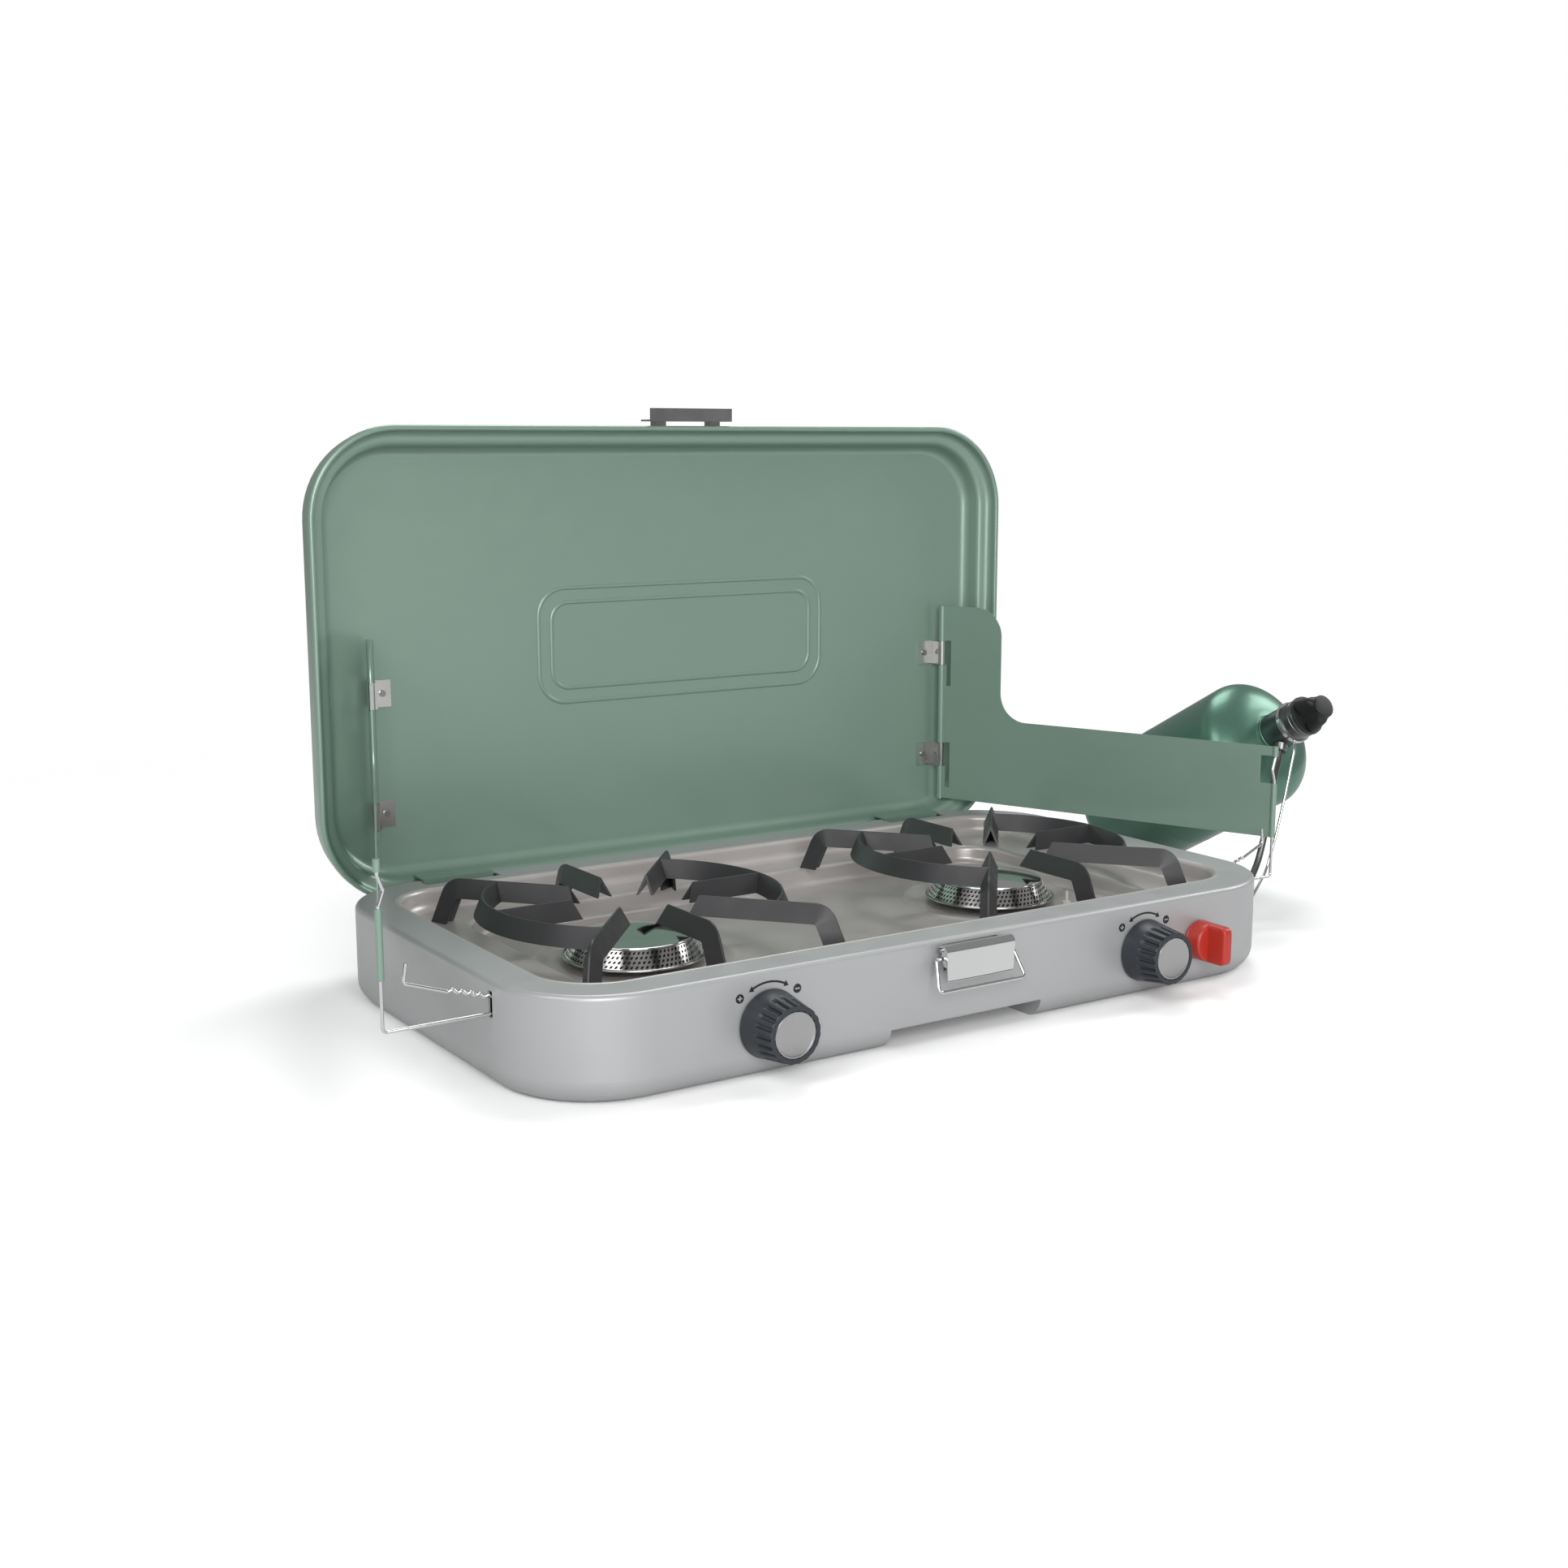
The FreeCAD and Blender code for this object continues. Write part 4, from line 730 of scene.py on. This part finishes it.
def lid_profile():
    """Rows of inset and depth behind the lip: inner skin outwards, the roll, outer skin inwards."""
    depth = LID_BACK - LID_FRONT
    inner = [(46.0, depth - 1.1), (21.0, depth - 1.1)] + \
        [(14.0 + 7.0 * (1 - math.sin(a)), depth - 8.1 + 7.0 * math.cos(a))
         for a in np.radians(np.linspace(10, 85, 7))]
    step = [(13.6, 13.5), (12.9, 11.6), (11.2, 10.4), (8.6, 9.9), (6.0, 9.2), (4.4, 7.6), (3.8, 5.6)]
    roll = arc(2.0, 2.6, 1.9, 10, -170, 10)
    outside = [(0.1, 3.4), (0.4, 8.0), (1.4, 12.5)] + \
        [(2.2 + 10.0 * (1 - math.cos(a)), depth - 10.0 + 10.0 * math.sin(a))
         for a in np.radians(np.linspace(10, 90, 9))] + [(24.0, depth), (46.0, depth)]
    return np.array(inner + step + roll + outside)


def upright(points, front):
    """Turn a level outline into one that stands: its depth runs along Y, its height along Z."""
    x, y, z = np.moveaxis(points, -1, 0)
    return np.stack([x, front + z, LID_MIDDLE + y], -1)


rows = lid_profile()
rings = rounded_rings(LID_X - rows[:, 0], LID_Y - rows[:, 0],
                      np.maximum(LID_CORNER - rows[:, 0], 10.0), rows[:, 1], 16)
count = rings.shape[1]
lid_faces = grid_faces(rings.shape[0], count, wrap_columns=True).tolist()
lid_faces += [list(range(count)), list(range((len(rows) - 1) * count, len(rows) * count))]
make_piece("lid_tray", upright(rings, LID_FRONT), lid_faces, GREEN_PAINT, "lid", "green",
           ("lid_shell",))

# %% Lid emboss
def bead_frame(half_w, half_h, corner, centre, depth_at, radius=1.4):
    """A half-round bead along a rounded rectangle, flattened onto the panel."""
    t = np.radians(np.linspace(0, 360, 12, endpoint=False))
    rings = rounded_rings(half_w + radius * np.cos(t), half_h + radius * np.cos(t),
                          corner + radius * np.cos(t), 0.55 * radius * np.sin(t), 10)
    x, y, z = np.moveaxis(rings, -1, 0)
    points = np.stack([centre[0] + x, depth_at + z, centre[1] + y], -1)
    return points, grid_faces(points.shape[0], points.shape[1], True, True).tolist()


PANEL_Y = LID_BACK - 1.1
badge = [bead_frame(half_w, half_h, corner, (8.0, 209.0), PANEL_Y)
         for half_w, half_h, corner in ((118, 40, 20), (108, 30, 13))]
make_piece("lid_emboss", *stack(*badge), GREEN_PAINT, "lid", "green")

# %% [markdown]
# ## Knobs and igniter
# A knob is a waisted body turned about its shaft, with flutes that fade out at both ends: the
# radius is the profile's less a raised cosine of the angle. Its disc has a raised rim and fine
# lathe rings. The igniter has a round base and a wing with soft edges.

# %% Knobs
KNOB_X, CONTROL_Z = BURNER_X, 31.5
WALL_Y = lo_hi("case_shell")[0][1]
FLUTES = 20


def fluted(t, h, r):
    """Radius less a notch at each flute. A notch runs from the knob's middle to its front edge:
    its depth is a smooth step of the cosine of the angle and of the height."""
    reach = smooth(12.5, 2.0, h) * smooth(-25.6, 0.9, -h)
    return r - 1.5 * reach * smooth(0.15, 0.7, np.cos(FLUTES * t)) + 0 * t


def knob(side, word):
    """Body from the wall out, with a rounded front edge and a seat for the disc."""
    centre = (side * KNOB_X, WALL_Y - 1.0, CONTROL_Z)
    body = [(0, 0.0), (19.4, 0.0)] + arc(19.2, 0.8, 0.8, -75, 30, 5) + \
        [(19.6, 2.4), (19.3, 5.0), (18.8, 9.0), (18.5, 11.0), (18.4, 12.0), (18.25, 13.0),
         (18.1, 14.0), (17.6, 18), (17.1, 22), (16.9, 24), (16.8, 25.0)] + \
        arc(15.9, 25.1, 0.9, 0, 90, 6) + [(13.8, 26.0), (13.5, 25.2), (0, 25.2)]
    make_piece("knob_body_" + word, *revolve(body, centre, (0, -1, 0), FLUTES * 12, fluted),
               KNOB_PLASTIC, "control_" + word, "charcoal", ("knob_" + word,))
    disc = [(0, 24.9), (13.2, 24.9), (13.3, 25.6), (13.0, 26.0), (12.4, 26.1), (12.0, 25.9),
            (11.6, 25.75), (0, 25.75)]
    brushed = finish("knob_disc_brushed_" + word, ("A9A9AA", "B9B9BA"), (0.24, 0.34),
                     metallic=1.0, relief=0.01, rings=centre)
    make_piece("knob_face_" + word, *revolve(disc, centre, (0, -1, 0), 96), brushed,
               "control_" + word, "alloy", ("knob_disc_" + word,))


for side, word in ((-1, "left"), (1, "right")):
    knob(side, word)


# %% Igniter
def soft_box(centre, half, power, rows=25, columns=48):
    """A superellipsoid: each coordinate is a signed power of the sphere's, so edges are soft."""
    a = np.linspace(-np.pi / 2, np.pi / 2, rows)[:, None]
    t = np.linspace(0, 2 * np.pi, columns, endpoint=False)[None, :]

    def bent(v):
        return np.sign(v) * np.abs(v) ** power

    x = half[0] * bent(np.cos(a)) * bent(np.cos(t))
    z = half[2] * bent(np.cos(a)) * bent(np.sin(t))
    y = half[1] * bent(np.sin(a)) * np.ones_like(t)
    points = np.stack([x, y, z], -1) + np.asarray(centre, float)
    return points, grid_faces(rows, columns, wrap_columns=True).tolist()


ig_low, ig_high = lo_hi("igniter_knob")
ig_x, ig_z = (ig_low[0] + ig_high[0]) / 2, (ig_low[2] + ig_high[2]) / 2
base_profile = [(0, 0), (12.6, 0)] + arc(12.3, 0.8, 0.7, -60, 60, 5) + \
    [(12.7, 6.0)] + arc(10.7, 10.0, 2.0, 0, 90, 7) + [(0, 12.0)]
igniter_shells = [revolve(base_profile, (ig_x, ig_high[1], ig_z), (0, -1, 0), 72),
                  soft_box((ig_x, (ig_low[1] + ig_high[1]) / 2, ig_z),
                           (4.0, (ig_high[1] - ig_low[1]) / 2, 12.6), 0.28)]
make_piece("igniter_grip", *stack(*igniter_shells), RED_PLASTIC, "igniter", "red",
           ("igniter_knob",))

# %% [markdown]
# ## Gas cylinder, regulator and hand knob
# All three are turned about the leaning axis. The cylinder's profile is a neck, a domed shoulder,
# a straight side and a rounded foot with a rolled base ring. The hand knob's radius rises three
# times round it, which makes its lobes.

# %% Cylinder and regulator
TILT = math.radians(29.0)
AXIS = np.array([0, math.cos(TILT), -math.sin(TILT)])
SEAT = np.array([393.0, -32.2, 134.3])
BOTTLE_R, BOTTLE_L, DOME = 49.4, 180.0, 22.0
shoulder = [(15.5 + (BOTTLE_R - 15.5) * math.sin(a), 4 + (DOME + 1) * (1 - math.cos(a)))
            for a in np.radians(np.linspace(8, 90, 24))]
bottle = [(0, 0.4), (14.2, 0.4)] + arc(14.3, 1.0, 0.5, -80, 40, 5) + \
    [(14.8, 2.4), (15.4, 3.6), (17.0, 4.0)] + shoulder + \
    [(BOTTLE_R, 108.6), (BOTTLE_R + 0.15, 109.4), (BOTTLE_R + 0.15, 111.0), (BOTTLE_R, 111.8)] + \
    arc(BOTTLE_R - 12, BOTTLE_L - 12, 12, 0, 62, 12) + \
    [(BOTTLE_R - 8.0, BOTTLE_L - 0.4), (BOTTLE_R - 9.4, BOTTLE_L), (BOTTLE_R - 11.0, BOTTLE_L - 1.2)] + \
    [(BOTTLE_R - 15.0, BOTTLE_L - 4.0), (0, BOTTLE_L - 6.0)]
make_piece("cylinder_shell", *revolve(bottle, SEAT, AXIS, 128), BOTTLE_PAINT, "cylinder",
           "bottle", ("gas_cylinder", "cylinder_neck"))

regulator = [(0, -0.4), (14.0, -0.4)] + arc(13.9, -1.0, 0.6, 90, 0, 5) + \
    [(14.4, -28.4), (14.1, -28.7), (14.1, -29.1), (14.4, -29.4), (14.4, -31.6), (14.1, -32.0),
     (0, -32.0)]
make_piece("regulator_barrel", *revolve(regulator, SEAT, AXIS, 96), DARK_STEEL, "base", "steel",
           ("regulator_body",))
port = SEAT - AXIS * 9.5
port_way = np.array([-0.45, -0.25, -0.86])
port_way = port_way / np.linalg.norm(port_way)
boss = [(0, 8.0), (4.9, 8.0), (4.9, 18.4), (4.3, 19.2), (0, 19.2)]
make_piece("regulator_port", *revolve(boss, port, port_way, 48), DARK_STEEL, "base", "steel")


def lobed(t, h, r):
    """Three raised lobes that narrow towards the front, on the knob's plain round core."""
    reach = np.clip((-h - 35.5) / 1.0, 0, 1) * np.clip((50.5 + h) / 2.5, 0, 1)
    lobe = (0.5 + 0.5 * np.cos(3 * t + 1.0)) ** 2.2
    return r + reach * lobe * np.clip(6.2 + (h + 36.0) * 0.25, 0, 7) + 0 * t


grip = [(0, -32.4), (14.5, -32.4)] + arc(14.4, -32.9, 0.5, 60, -60, 5) + \
    [(14.6, -34.6), (14.2, -35.2), (9.6, -35.5), (9.4, -36.5), (9.2, -40), (9.0, -43),
     (8.9, -46), (8.8, -48), (8.7, -49.6), (8.6, -50.8)] + arc(7.8, -51.5, 0.8, 0, -90, 6) + \
    [(0, -52.3)]
make_piece("regulator_grip_knob", *revolve(grip, SEAT, AXIS, 144, lobed), BLACK_PLASTIC,
           "regulator_grip", "black", ("regulator_knob",))

# %% [markdown]
# ## Latch lever
# The lever is one strip bent in profile: a small foot, a tall face, a tight roll at the top and a
# short return to the pin. The profile is carried sideways and narrows a little towards the foot.
# A cheek closes each end, so that the wire bail has somewhere to hook.

# %% Latch lever
lever_low, lever_high = lo_hi("latch_lever")


def latch_lever():
    """Depth and height along the strip, offset by its sheet, at stations across the width."""
    front, foot, top = lever_low[1], lever_low[2], lever_high[2]
    line = [(front + 2.6, foot + 0.1), (front + 1.3, foot + 0.3), (front + 0.5, foot + 1.2),
            (front + 0.2, foot + 3.0), (front + 0.3, (foot + top) / 2), (front + 0.2, top - 4.5)]
    line += [(front + 4.0 - 3.8 * math.cos(a), top - 3.9 + 3.8 * math.sin(a))
             for a in np.radians(np.linspace(8, 95, 10))]
    line += [(front + 6.6, top - 0.35), (front + 7.6, top - 0.8)]
    line = np.array(line)
    ahead = np.gradient(line, axis=0)
    ahead /= np.linalg.norm(ahead, axis=1)[:, None]
    inner = line + np.stack([ahead[:, 1], -ahead[:, 0]], -1) * 0.9
    loop = np.concatenate([line, inner[::-1]])
    half = (lever_high[0] - lever_low[0]) / 2 - 0.1
    across = np.concatenate([[-1, -0.992], np.linspace(-0.97, 0.97, 15), [0.992, 1]])
    narrow = 1 - 0.05 * (top - loop[:, 1]) / (top - foot)
    x = half * across[:, None] * narrow[None, :]
    swell = 0.35 * (1 - across[:, None] ** 2)
    points = np.stack([x, loop[None, :, 0] - swell + 0.35, np.broadcast_to(loop[:, 1], x.shape)], -1)
    rows, columns = x.shape
    faces = grid_faces(rows, columns, wrap_columns=True).tolist()
    half_loop = columns // 2
    for row in (0, (rows - 1) * columns):
        faces += [[row + k, row + k + 1, row + columns - 2 - k, row + columns - 1 - k]
                  for k in range(half_loop - 1)]
    return points.reshape(-1, 3), faces


def lever_cheek(side):
    """A small plate at one end of the lever, from its face back to the pin."""
    x = side * ((lever_high[0] - lever_low[0]) / 2 - 1.6)
    outline = np.array([(lever_low[1] + 0.9, 47.0), (lever_low[1] + 4.5, 47.6),
                        (lever_low[1] + 6.8, 52.0), (lever_low[1] + 7.0, 58.0),
                        (lever_low[1] + 3.0, 58.6), (lever_low[1] + 0.9, 57.0)])
    shells = np.stack([np.stack([np.full(len(outline), x + d), outline[:, 0], outline[:, 1]], -1)
                       for d in (-0.5, 0.5)])
    count = len(outline)
    faces = grid_faces(2, count, wrap_columns=True).tolist()
    return shells.reshape(-1, 3), faces + [list(range(count)), list(range(count, 2 * count))]


make_piece("latch_face", *stack(latch_lever(), lever_cheek(-1), lever_cheek(1)), CHROME, "latch",
           "steel", ("latch_lever",))

# %% [markdown]
# ## Marks by the knobs
# Above each knob are raised marks: a plus, an arc with an arrow head at each end, and a minus.
# They are thin plates on the front wall, so they cast their own fine edge.

# %% Control marks
def plate_strip(outline_low, outline_high, y_front, y_back):
    """A thin closed strip between two rows of (x, z) points, from one depth to another."""
    low, high = np.asarray(outline_low, float), np.asarray(outline_high, float)
    corners = [(low, y_front), (high, y_front), (high, y_back), (low, y_back)]
    points = np.stack([np.stack([line[:, 0], np.full(len(line), y), line[:, 1]], -1)
                       for line, y in corners], 1)
    faces = grid_faces(len(low), 4, wrap_columns=True).tolist()
    return points.reshape(-1, 3), faces + [[0, 1, 2, 3], [len(low) * 4 - k for k in (4, 3, 2, 1)]]


def bar_mark(x, z, half_w, half_h, y):
    """A small rectangle just proud of its disc."""
    return plate_strip([(x - half_w, z - half_h), (x + half_w, z - half_h)],
                       [(x - half_w, z + half_h), (x + half_w, z + half_h)], y - 0.22, y + 0.1)


DOT_PLACE, DOT_LEVEL = 19.0, 48.5


def control_marks(side, word):
    """Plus on the left, minus on the right, and the arrowed arc over the knob."""
    x, y = side * KNOB_X, WALL_Y
    dot = [(0, 0.12), (2.5, 0.12), (2.7, 0.0), (2.7, -0.4), (0, -0.4)]
    shells = [revolve(dot, (x + turn * DOT_PLACE, y, DOT_LEVEL), (0, -1, 0), 32)
              for turn in (-1, 1)]
    t = np.radians(np.linspace(64, 116, 19))
    ring = [np.stack([x + r * np.cos(t), CONTROL_Z + r * np.sin(t)], -1) for r in (23.2, 24.4)]
    shells.append(plate_strip(ring[0], ring[1], y - 0.12, y + 0.4))
    for end, turn in ((64, -1), (116, 1)):
        a = math.radians(end)
        tip = a + turn * 0.13
        middle = np.array([x + 23.8 * math.cos(tip), CONTROL_Z + 23.8 * math.sin(tip)])
        inner = np.array([x + 21.9 * math.cos(a), CONTROL_Z + 21.9 * math.sin(a)])
        outer = np.array([x + 25.7 * math.cos(a), CONTROL_Z + 25.7 * math.sin(a)])
        shells.append(plate_strip([inner, middle - (middle - inner) * 0.02],
                                  [outer, middle + (outer - middle) * 0.02], y - 0.12, y + 0.4))
    make_piece("control_marks_" + word, *stack(*shells), BLACK_PLASTIC, "base", "charcoal",
               smooth=False)
    signs = [bar_mark(x - DOT_PLACE, DOT_LEVEL, 1.5, 0.4, y),
             bar_mark(x - DOT_PLACE, DOT_LEVEL, 0.4, 1.5, y - 0.02),
             bar_mark(x + DOT_PLACE, DOT_LEVEL, 1.5, 0.4, y)]
    make_piece("control_signs_" + word, *stack(*signs), CASE_PAINT, "base", "case", smooth=False)


for side, word in ((-1, "left"), (1, "right")):
    control_marks(side, word)
